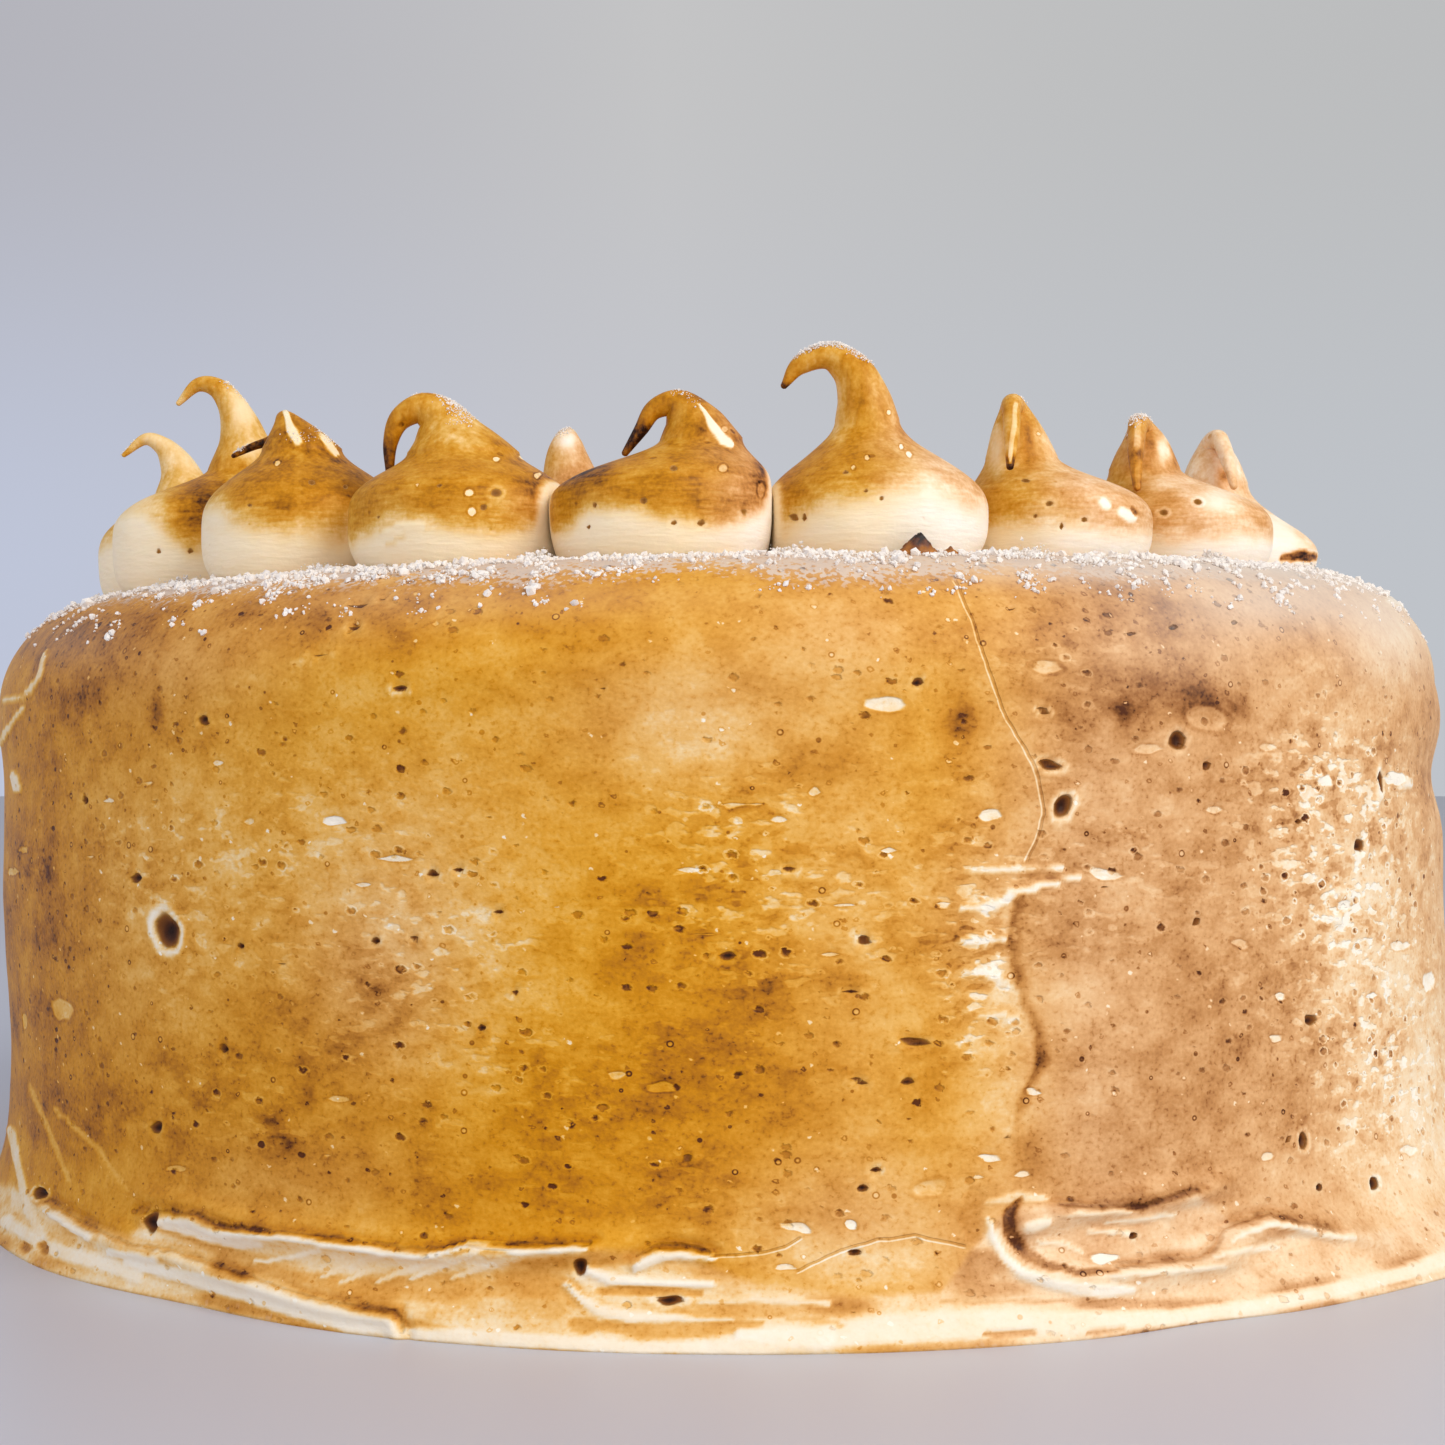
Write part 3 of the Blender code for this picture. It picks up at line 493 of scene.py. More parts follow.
# A line is drawn within this many pixels, and a mark this far off isn't seen
LINE_REACH = 7.0
FAR_PIXELS = 99.0
FAR = 9.0


def blots(marks, x, y):
    """The sum of soft blots at picture places."""
    total = 0.0 * x
    for middle_x, middle_y, half_width, half_height, strength in marks:
        total = total + strength * bell(x - middle_x, half_width) * bell(y - middle_y, half_height)
    return total


def nearest(marks, x, y):
    """How far each place is from its nearest oval, 1 being the oval's edge, and that one's strength."""
    gap, strength = np.full(x.shape, FAR), np.zeros(x.shape)
    for middle_x, middle_y, width, tall, lean, value in marks:
        turn = math.radians(lean)
        along = (x - middle_x) * math.cos(turn) - (y - middle_y) * math.sin(turn)
        beside = (x - middle_x) * math.sin(turn) + (y - middle_y) * math.cos(turn)
        here = np.hypot(2.0 * along / width, 2.0 * beside / tall)
        strength = np.where(here < gap, value, strength)
        gap = np.minimum(gap, here)
    return gap, strength


def line_gap(points, x, y):
    """Pixels from each place to a line, how far above it the place is, and the line's half width there."""
    gap, above, width = np.full(x.shape, np.inf), np.zeros(x.shape), np.ones(x.shape)
    for start, end in zip(points, points[1:]):
        run, drop = end[0] - start[0], end[1] - start[1]
        length = math.hypot(run, drop)
        share = np.clip(((x - start[0]) * run + (y - start[1]) * drop) / length ** 2, 0.0, 1.0)
        away = np.hypot(x - start[0] - share * run, y - start[1] - share * drop)
        closer = away < gap
        above = np.where(closer, ((x - start[0]) * drop - (y - start[1]) * run) / length, above)
        if len(start) > 2:
            width = np.where(closer, start[2] + (end[2] - start[2]) * share, width)
        gap = np.minimum(gap, away)
    return gap, above, width


SMEAR_EDGE = (0.6, 1.3)
FLAT_SMEAR = 0.45


def smeared(value, smears, x, y, front=1.0):
    """The value, painted over by each smear in turn, and the relief that the smears leave: paler
    ones stand out and darker ones lie deeper."""
    relief = 0.0 * x
    for level, points in smears:
        gap, _, width = line_gap(points, x, y)
        share = (1.0 - ease(*SMEAR_EDGE, gap / width)) * front
        value = value + (level - value) * share
        relief = relief * (1.0 - share) + (FLAT_SMEAR - level) * share
    return value, relief


# Dragged meringue has smoother edges than torn skin
DRAGGED_EDGE = 0.45
drawn_x = seen_x + DRAGGED_EDGE * (ragged_x - seen_x)
drawn_y = seen_y + DRAGGED_EDGE * (ragged_y - seen_y)

# How torched the coat is, from 0 for cream to 1 for burnt, with some painted shade, and how torn. The
# marks of the picture say it in front, and noise alone behind, in clouds of 34 mm and patches of 13 mm.
# The back is cloudier and its right side paler, and the shoulder in front is darker, a painted shade.
COAT_TOAST = 0.615
CLOUDY = 0.06
CLOUDIER_BEHIND = 0.08
PATCHY = 0.10
PALER_BEHIND = 0.10
SHOULDER_SHADE = 0.11
SHOULDER_SHADE_START = (84.0, 94.0)
TORN_BEHIND = 0.6
TORN_END = (84.0, 96.0)
clouds = grain(spots, 0.034, 1.5, 3.0)
patches = grain(spots, 0.013, 1.7, 11.0)
toast_and_shading = COAT_TOAST + blots(WALL_TONE_MARKS, seen_x, seen_y) * in_front
toast_and_shading += clouds * (CLOUDY + CLOUDIER_BEHIND * behind) + patches * PATCHY
toast_and_shading -= PALER_BEHIND * behind * np.maximum(sine, 0.0)
toast_and_shading += SHOULDER_SHADE * ease(*SHOULDER_SHADE_START, unrolled) * in_front
toast_and_shading += blots(SCORCHES, ragged_x, ragged_y) * in_front
rough = blots(ROUGH_MARKS, seen_x, seen_y) * in_front
rough += TORN_BEHIND * behind * ease(0.05, 0.45, grain(spots, 0.045, 1.3, 20.0))
rough = np.clip(rough + 0.25 * patches, 0.0, 1.0) * (1.0 - ease(*TORN_END, unrolled))

# The bare band at the foot, streaked along its length, cream to golden. Its edge is in pixels in
# front, and in mm up the wall behind.
BARE_TOAST = 0.31
GOLDEN_MORE = 0.36
STREAKY = 0.12
BARE_FADE = (-5.0, 8.0)
BACK_BARE_HEIGHT = 10.5
BACK_BARE_SWAY = 4.0
BACK_BARE_FADE = (-1.6, 1.0)
edge = np.interp(seen_x, [point[0] for point in BARE_EDGE], [point[1] for point in BARE_EDGE])
drag = grain(spots, 0.014, 6.5, 31.0)
bare_front = ease(*BARE_FADE, drawn_y - edge + 4.0 * drag)
back_edge = BACK_BARE_HEIGHT + BACK_BARE_SWAY * grain(spots * np.array((1, 1, 0)), 0.03, 1.0, 5.0)
bare_back = 1.0 - ease(*BACK_BARE_FADE, unrolled - back_edge + 1.3 * drag)
bare = bare_front * in_front + bare_back * behind
golden = ease(-0.15, 0.45, grain(spots, 0.012, 4.5, 41.0))
toast_and_shading = toast_and_shading * (1.0 - bare) + bare * (BARE_TOAST + GOLDEN_MORE * golden + STREAKY * drag)
toast_and_shading, smear_relief = smeared(toast_and_shading, SMEARS, drawn_x, drawn_y, in_front)

# Icing sugar lies on the top in front of the kisses and on the rim, and a little on the foot, as
# dust and as a veil that thins out towards the middle. The bands are in mm up the unrolled coat.
DUST_START = (93.0, 105.0)
FOOT_DUST = 0.2
FOOT_DUST_END = (0.5, 2.5)
HAZE_START = (76.0, 88.0)
VEIL = 0.50
VEIL_START = (97.0, 106.0)
VEIL_END = (114.0, 132.0)
ragged_rim = unrolled + 2.5 * patches
dust = ease(*DUST_START, ragged_rim) + FOOT_DUST * (1.0 - ease(*FOOT_DUST_END, unrolled))
haze = blots(HAZE_MARKS, seen_x, seen_y) * in_front * ease(*HAZE_START, unrolled)
haze += VEIL * ease(*VEIL_START, ragged_rim) * (1.0 - ease(*VEIL_END, unrolled + 8.0 * clouds))

# The skin is peachy on the right, a painted sheen of the lamp on that side, and golden elsewhere. The
# bare foot in front is peachier too, a painted shade, and behind the skin is peachy in clouds, more on
# the right, the same painted sheen.
SHEEN_START = (870.0, 1120.0)
SHEEN_SWAY = 60.0
FOOT_SHADE_PEACH = 0.35
peach_and_sheen = ease(*SHEEN_START, seen_x + SHEEN_SWAY * clouds) + blots(PEACH_MARKS, seen_x, seen_y)
peach_and_sheen = (peach_and_sheen + FOOT_SHADE_PEACH * bare_front) * in_front
peach_and_sheen += behind * ease(-0.6, 0.9, clouds + 0.7 * sine)

# The pits and blisters, and the relief of all so far, in metres
PIT_PALE_RIM = 0.46
PIT_DEPTH = 0.00070
PIT_LIP = 0.00016
OVAL_DEPTH = 0.00022
SMEAR_DEPTH = 0.0009
CLOUD_DEPTH = 0.00022
PATCH_DEPTH = 0.00010
STREAK_DEPTH = 0.00012
TORN_DEPTH = 0.00016
pit, pit_rim = nearest(BURNT_PITS, ragged_x, ragged_y)
oval, oval_pale = nearest(BARE_OVALS, ragged_x, ragged_y)
pit, oval = pit + FAR * behind, oval + FAR * behind
toast_and_shading -= PIT_PALE_RIM * pit_rim * bell(pit - 1.38, 0.28)
relief = CLOUD_DEPTH * clouds + PATCH_DEPTH * patches + STREAK_DEPTH * bare * drag
relief += SMEAR_DEPTH * smear_relief - TORN_DEPTH * rough * grain(spots, 0.0042, 2.6, 51.0)
relief -= PIT_DEPTH * (1.0 - ease(0.3, 1.3, pit)) - PIT_LIP * bell(pit - 1.5, 0.35)
relief -= OVAL_DEPTH * (1.0 - ease(0.6, 1.15, oval))

# The seam: a painted shadow on its right, a paler strip on its left, and a low step
SEAM_SHADOW = 0.26
SEAM_PALE = 0.10
SEAM_STEP = 0.00025
SEAM_START = (880.0, 898.0)
SEAM_END = (1060.0, 1190.0)
seam_y = [point[1] for point in SEAM]
seam_gap = ragged_x + 3.0 * drag - np.interp(seen_y, seam_y, [point[0] for point in SEAM])
seam_span = ease(*SEAM_START, seen_y) * (1.0 - ease(*SEAM_END, seen_y)) * in_front
toast_and_shading += seam_span * SEAM_SHADOW * ease(-3.0, 3.0, seam_gap) * (1.0 - ease(3.0, 17.0, seam_gap))
toast_and_shading -= seam_span * SEAM_PALE * (1.0 - ease(-4.0, 2.0, seam_gap)) * ease(-44.0, -8.0, seam_gap)
relief += SEAM_STEP * seam_span * ease(-4.0, 4.0, seam_gap) * (1.0 - ease(8.0, 110.0, seam_gap))


def nearest_line(lines, x, y):
    """Pixels to the nearest of these lines, and how far above it each place is."""
    near, over = np.full(x.shape, FAR_PIXELS), np.full(x.shape, FAR_PIXELS)
    for line in lines:
        gap, above, _ = line_gap(line, x, y)
        over = np.where(gap < near, above, over)
        near = np.minimum(near, gap)
    return near + FAR_PIXELS * behind, over


# The cracks are only coloured; the lips also stand out over a groove, which is browned: a burnt edge and
# painted shade
LIP_OUT = 0.00045
LIP_GROOVE = 0.00050
LIP_BURN_AND_SHADE = 0.17
crack_near, crack_over = nearest_line(CRACKS, drawn_x, drawn_y)
lip_near, lip_over = nearest_line(LIPS, drawn_x, drawn_y)
lip_here = 1.0 - ease(10.0, 20.0, lip_near)
relief += lip_here * (LIP_OUT * bell(lip_over + 7.0, 7.0) - LIP_GROOVE * bell(lip_over - 4.0, 6.0))
toast_and_shading += lip_here * LIP_BURN_AND_SHADE * bell(lip_over - 3.0, 5.0)

# The foot stands flat on the floor, and nothing of it reaches below
coat_points = spots + outs * relief[..., None]
coat_points[0, :, 2] = 0.0
coat_points[..., 2] = np.maximum(coat_points[..., 2], 0.0)


def grid_mesh(name, points):
    """A closed mesh of rings of points, with flat ends."""
    rows, columns = points.shape[:2]
    index = np.arange(rows * columns).reshape(rows, columns)
    here, after = index, np.roll(index, -1, axis=1)
    quads = np.stack((here[:-1], after[:-1], after[1:], here[1:]), axis=-1).reshape(-1, 4)
    faces = quads.tolist() + [index[0][::-1].tolist(), index[-1].tolist()]
    mesh = bpy.data.meshes.new(name)
    mesh.from_pydata(points.reshape(-1, 3).tolist(), [], faces)
    mesh.shade_smooth()
    return mesh


def paint(mesh, values):
    """Numbers for each point of a mesh, which its material reads by their names."""
    for name, numbers in values.items():
        layer = mesh.attributes.new(name, "FLOAT", "POINT")
        layer.data.foreach_set("value", np.ascontiguousarray(numbers, dtype=np.float32).ravel())


def show(name, mesh, material):
    """A mesh as a piece of the scene."""
    mesh.materials.append(material)
    piece = bpy.data.objects.new(name, mesh)
    bpy.context.scene.collection.objects.link(piece)
    return piece


coat_mesh = grid_mesh("meringue_coat", coat_points)
coat_marks = {
    "toast_and_shading": toast_and_shading, "peach_and_sheen": peach_and_sheen, "rough": rough, "dust": dust, "haze": haze, "pit": pit, "oval": oval,
    "oval_pale": oval_pale, "crack_near": crack_near, "crack_over": crack_over, "lip_near": lip_near,
    "lip_over": lip_over}
paint(coat_mesh, coat_marks)


def from_hex(code):
    """An sRGB hex colour as linear RGBA."""
    levels = [int(code[i:i + 2], 16) / 255.0 for i in (0, 2, 4)]
    linear = [level / 12.92 if level <= 0.04045 else ((level + 0.055) / 1.055) ** 2.4 for level in levels]
    return (*linear, 1.0)


def new_material(name):
    """A new material, its tree of nodes, and its shader."""
    material = bpy.data.materials.new(name)
    material.use_nodes = True
    return material, material.node_tree, material.node_tree.nodes["Principled BSDF"]


# Settings that many nodes share, and the places of a mix node's inputs, which share their names
TIMES = {"operation": "MULTIPLY"}
TIMES_PLUS = {"operation": "MULTIPLY_ADD"}
TIMES_PLUS_CLAMPED = {"operation": "MULTIPLY_ADD", "use_clamp": True}
MINUS = {"operation": "SUBTRACT"}
POWER = {"operation": "POWER"}
SMOOTHLY = {"interpolation_type": "SMOOTHSTEP"}
COLOURS = {"data_type": "RGBA"}
SHARE, UNDER, OVER, MIXED = 0, 6, 7, 2
NUMBER_UNDER, NUMBER_OVER = 2, 3


def add(kind, inputs=(), settings=None, out=0, stops=()):
    """Adds a node to the tree in hand, with its settings, its colour stops as (place, hex colour),
    and its inputs in their order, or by name or number. Gives back one of its outputs."""
    node = tree.nodes.new("ShaderNode" + kind)
    for key, value in (settings or {}).items():
        setattr(node, key, value)
    for i, (at, code) in enumerate(stops):
        elements = node.color_ramp.elements
        element = elements[i] if i < len(elements) else elements.new(at)
        element.position = at
        element.color = from_hex(code)
    for key, value in inputs.items() if isinstance(inputs, dict) else enumerate(inputs):
        if isinstance(value, bpy.types.NodeSocket):
            tree.links.new(value, node.inputs[key])
        else:
            node.inputs[key].default_value = value
    return node.outputs[out]


def speckle(size_mm, flatness, detail, shift):
    """Noise whose lumps are this many mm wide, and this many times as wide as tall. Each pattern has
    a shift of its own, so that no two match."""
    moved = add("Mapping", {"Vector": place, "Location": [shift] * 3, "Scale": (1.0, 1.0, flatness)})
    return add("TexNoise", {"Vector": moved, "Scale": 1000.0 / size_mm, "Detail": detail}, out="Fac")


def dots(where, apart_mm, flatness, shift):
    """Scattered dots this many mm apart: how far every place is from its nearest dot, as a share of
    that distance, and three numbers between 0 and 1 that each dot has of its own."""
    moved = add("Mapping", {"Vector": where, "Location": [shift] * 3, "Scale": (1.0, 1.0, flatness)})
    gap = add("TexVoronoi", {"Vector": moved, "Scale": 1000.0 / apart_mm, "Detail": 0.0}, out="Distance")
    return gap, add("SeparateColor", (gap.node.outputs["Color"],)).node.outputs


def laid_on(value, marks):
    """The value with the marks, as (cover, strength), added to it one by one."""
    for cover, strength in marks:
        value = add("Math", (cover, strength, value), TIMES_PLUS)
    return value


def swings(*waves):
    """The sum of noises, each with its strength, up and down from their middle of 0.5."""
    return laid_on(0.0, [(add("Math", (wave, 0.5), MINUS), strength) for wave, strength in waves])


def ring(value, middle, far, near):
    """1 where the value is within near of the middle, falling to 0 at far."""
    off = add("Math", (value, middle), MINUS) if middle else value
    return add("MapRange", (add("Math", (off,), {"operation": "ABSOLUTE"}), far, near), SMOOTHLY)


# Torched meringue skin: sugar and egg white, caramelised by the flame, so it is cream where the
# flame missed it, golden to brown where it didn't, and black where a bubble caught fire.
toasted_coat, tree, shader = new_material("toasted_meringue_skin")
place = add("TexCoord", out="Object")
painted = {name: add("Attribute", (), {"attribute_name": name}, "Fac") for name in coat_marks}
torn = painted["rough"]

# Mottling of the skin: patches of 11 mm, blots of 4 mm, which are stronger in torn skin, and
# freckles under 1 mm, all weaker where the meringue is bare
mottled = add("MapRange", (painted["toast_and_shading"], 0.05, 0.40, 0.35, 1.0), SMOOTHLY)
patchy = speckle(11.0, 1.3, 2.0, 0.1)
blotting = speckle(4.0, 1.35, 3.0, 0.4)
freckles = speckle(0.7, 1.2, 2.0, 0.7)
blotchy = add("Math", (torn, 0.38, 0.38), TIMES_PLUS)
unevenness = swings((patchy, 0.34), (blotting, blotchy), (freckles, 0.26))
fleck = add("MapRange", (freckles, 0.61, 0.70, 0.0, 0.06), SMOOTHLY)

# Torn skin: flat flakes about 3 mm long that stayed pale, with browned skin between them
flakes = speckle(3.4, 2.2, 2.5, 1.3)
pale_flakes = add("MapRange", (add("Math", (torn, 0.045, flakes), TIMES_PLUS), 0.58, 0.67), SMOOTHLY)
pale_flakes = add("Math", (pale_flakes, torn), TIMES)
dark_flakes = add("Math", (add("MapRange", (flakes, 0.45, 0.36), SMOOTHLY), torn), TIMES)

# Scorched specks of many sizes up to 1.2 mm across, with wandering outlines, and in torn skin with
# a pale rim
wander = add("CombineXYZ", (freckles, blotting, freckles))
wander = add("VectorMath", (wander, (0.0010, 0.0016, -0.0009), place), TIMES_PLUS)
speck_gap, speck_dice = dots(wander, 3.3, 1.6, 2.1)
speck_edge = add("MapRange", (add("Math", (speck_dice[0], 1.5), POWER), 0.0, 1.0, 0.01, 0.22), SMOOTHLY)
speck_gap = add("Math", (torn, -0.03, add("Math", (speck_gap, speck_edge), MINUS)), TIMES_PLUS)
speck = add("MapRange", (speck_gap, 0.05, -0.07), SMOOTHLY)
speck_tone = add("Math", (torn, 0.14, 0.12), TIMES_PLUS)
speck_tone = add("Math", (add("Math", (speck_dice[1], 2.5), POWER), 0.26, speck_tone), TIMES_PLUS)
torn_rim = add("Math", (ring(speck_gap, 0.08, 0.07, 0.02), add("Math", (torn, speck_dice[2]), TIMES)), TIMES)

# Pores of 0.3 to 0.6 mm with a thin brown ring, and pale pinpoints that are painted glints
pore_gap, pore_dice = dots(wander, 1.7, 1.3, 8.1)
pore_edge = add("MapRange", (pore_dice[2], 0.0, 1.0, 0.05, 0.20), SMOOTHLY)
pore_gap = add("Math", (pore_gap, pore_edge), MINUS)
pore = add("MapRange", (pore_gap, 0.06, -0.06), SMOOTHLY)
pore_brown = add("MapRange", (pore_dice[0], 0.60, 1.0, 0.0, 0.24), SMOOTHLY)
pore_glint = add("MapRange", (pore_dice[1], 0.80, 0.86, 0.0, -0.40), SMOOTHLY)

# Burst bubbles of about 0.8 mm with a brown ring
bubble_gap, bubble_dice = dots(place, 4.2, 1.1, 3.7)
bubble_edge = add("MapRange", (bubble_dice[2], 0.0, 1.0, 0.05, 0.11), SMOOTHLY)
bubble_gap = add("Math", (bubble_gap, bubble_edge), MINUS)
bubble_here = add("MapRange", (bubble_dice[1], 0.55, 0.60), SMOOTHLY)
bubble_ring = add("Math", (ring(bubble_gap, 0.0, 0.035, 0.01), bubble_here), TIMES)
bubble_eye = add("Math", (add("MapRange", (bubble_gap, -0.01, -0.05), SMOOTHLY), bubble_here), TIMES)

# The cracks, thin and pale with a painted shadow above, and the dark lines of the folds' lips: burnt edge
# and painted shade
on_crack = add("MapRange", (painted["crack_near"], LINE_REACH, LINE_REACH / 2), SMOOTHLY)
crack_line = add("Math", (ring(painted["crack_over"], 0.0, 1.1, 0.4), on_crack), TIMES)
crack_dark = add("Math", (ring(painted["crack_over"], 2.6, 1.5, 0.5), on_crack), TIMES)
lip_width = add("MapRange", (blotting, 0.35, 0.65, 0.4, 2.8), SMOOTHLY)
lip_gap = add("Math", (painted["lip_over"],), {"operation": "ABSOLUTE"})
lip_line = add("MapRange", (add("Math", (lip_gap, lip_width), MINUS), 2.2, -2.0), SMOOTHLY)
on_lip = add("MapRange", (painted["lip_near"], LINE_REACH, LINE_REACH / 2), SMOOTHLY)
lip_line = add("Math", (lip_line, on_lip), TIMES)

# Burst blisters and burnt pits
oval_floor = add("MapRange", (painted["oval"], 1.10, 0.85), SMOOTHLY)
oval_floor = add("Math", (oval_floor, painted["oval_pale"]), TIMES)
oval_rim = ring(painted["oval"], 1.22, 0.28, 0.05)
pit_floor = add("MapRange", (painted["pit"], 1.12, 0.85), SMOOTHLY)

# How torched every spot is, with painted glints and painted shade at lips and cracks laid on, and its
# colour for that in golden skin and in peach skin under a painted sheen
toasting_and_shading = laid_on(painted["toast_and_shading"], (
    (unevenness, mottled), (pale_flakes, -0.36), (dark_flakes, 0.20), (speck, speck_tone), (torn_rim, -0.42),
    (ring(pore_gap, 0.0, 0.12, 0.03), pore_brown), (pore, pore_glint), (fleck, mottled), (bubble_ring, 0.28),
    (bubble_eye, -0.16), (crack_line, -0.28), (crack_dark, 0.12), (lip_line, 0.16), (oval_rim, 0.07)))
toasting_and_shading = add("Math", (oval_floor, -0.50, toasting_and_shading), TIMES_PLUS_CLAMPED)
golden_skin = add("ValToRGB", (toasting_and_shading,), stops=(
    (0.00, "f7eedc"), (0.14, "f1e1c5"), (0.30, "edcd92"), (0.44, "e8b250"), (0.58, "dd9d28"),
    (0.72, "cd8806"), (0.86, "ad6b0a"), (0.94, "87500e"), (1.00, "5a2c0c")))
sheened_peach_skin = add("ValToRGB", (toasting_and_shading,), stops=(
    (0.00, "f7f0e2"), (0.14, "f4e5cc"), (0.30, "f0d5b0"), (0.44, "e7c094"), (0.58, "d9a878"),
    (0.72, "c18c5a"), (0.86, "9a6438"), (0.94, "754622"), (1.00, "522a14")))
burnt = add("ValToRGB", (painted["pit"],), stops=(
    (0.2, "281209"), (0.5, "48240e"), (0.8, "794618"), (1.0, "a06a2e")))
peach_sheen_share = add("Math", (painted["peach_and_sheen"], 0.9), TIMES)
skin = add("Mix", {SHARE: peach_sheen_share, UNDER: golden_skin, OVER: sheened_peach_skin}, COLOURS, MIXED)
skin = add("Mix", {SHARE: pit_floor, UNDER: skin, OVER: burnt}, COLOURS, MIXED)

# Icing sugar dust between the grains that are modelled
sugar_clumps = speckle(0.8, 1.0, 3.0, 5.0)
sugar_amount = laid_on(painted["dust"], ((swings((blotting, 1.0), (patchy, 1.0)), 1.1),))
sugar_share = add("Math", (sugar_amount, 0.34, sugar_clumps), TIMES_PLUS)
sugar_share = add("MapRange", (sugar_share, 0.64, 0.74), SMOOTHLY)
sifted_share = add("MapRange", (painted["dust"], 0.05, 0.6, 0.0, 0.85), SMOOTHLY)
sugar_share = add("Math", (sugar_share, sifted_share), TIMES)
sugar_share = add("Math", (sugar_share, painted["haze"]), {"operation": "MAXIMUM"})
sugar_cover = add("Math", (sugar_share, 0.80), TIMES)
skin = add("Mix", {SHARE: sugar_cover, UNDER: skin, OVER: from_hex("dcd4cb")}, COLOURS, MIXED)
tree.links.new(skin, shader.inputs["Base Color"])

# Relief finer than the mesh: pits, flakes, specks and lips sunk, freckles as fine grain
depth = laid_on(0.0, (
    (pit_floor, -1.0), (oval_floor, -0.35), (pale_flakes, -0.30), (speck, -0.45), (lip_line, -0.8),
    (crack_dark, -0.4), (blotting, 0.5)))
coarse = add("Bump", {"Strength": 0.7, "Distance": 0.0006, "Height": depth})
fine = add("Bump", {"Strength": 0.4, "Distance": 0.0002, "Height": freckles, "Normal": coarse})
tree.links.new(fine, shader.inputs["Normal"])

# Egg white and sugar bake to a satin skin, which shines more the browner it is; sugar dulls it
gloss = add("MapRange", (toasting_and_shading, 0.2, 0.9, 0.60, 0.42), SMOOTHLY)
tree.links.new(add("Math", (sugar_share, 0.3, gloss), TIMES_PLUS_CLAMPED), shader.inputs["Roughness"])
shader.inputs["IOR"].default_value = 1.45
shader.inputs["Specular IOR Level"].default_value = 0.14

coat = show("meringue_coat", coat_mesh, toasted_coat)
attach(coat, "root")
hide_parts("cake")

# ---------------------------------------------------------------------------------------------
# The kisses: stiff meringue piped through a plain round nozzle, side by side in a ring, each with
# the strand that the nozzle drew out and let fall. The torch browned them from above.

KISS_COUNT = 19
RING_RADIUS = 0.0903
RING_OFFSET = -0.0015
KISS_STEP = 360.0 / KISS_COUNT
FRONT_KISS = 7
FRONT_KISS_ANGLE = -4.35
CONTACT = 0.00006
CONTACT_ROUNDING = 0.12  # square mm
FOOT_TUCK = 0.13
FOOT_ROUNDING = 2.6
KISS_FOOT_ROWS = 11
BODY_ROWS = 46
FREE_ROWS = 4
TIP_ROWS = 44
CAP_ROWS = 3
UPRIGHT_SHARE = 4.0 / 7.0

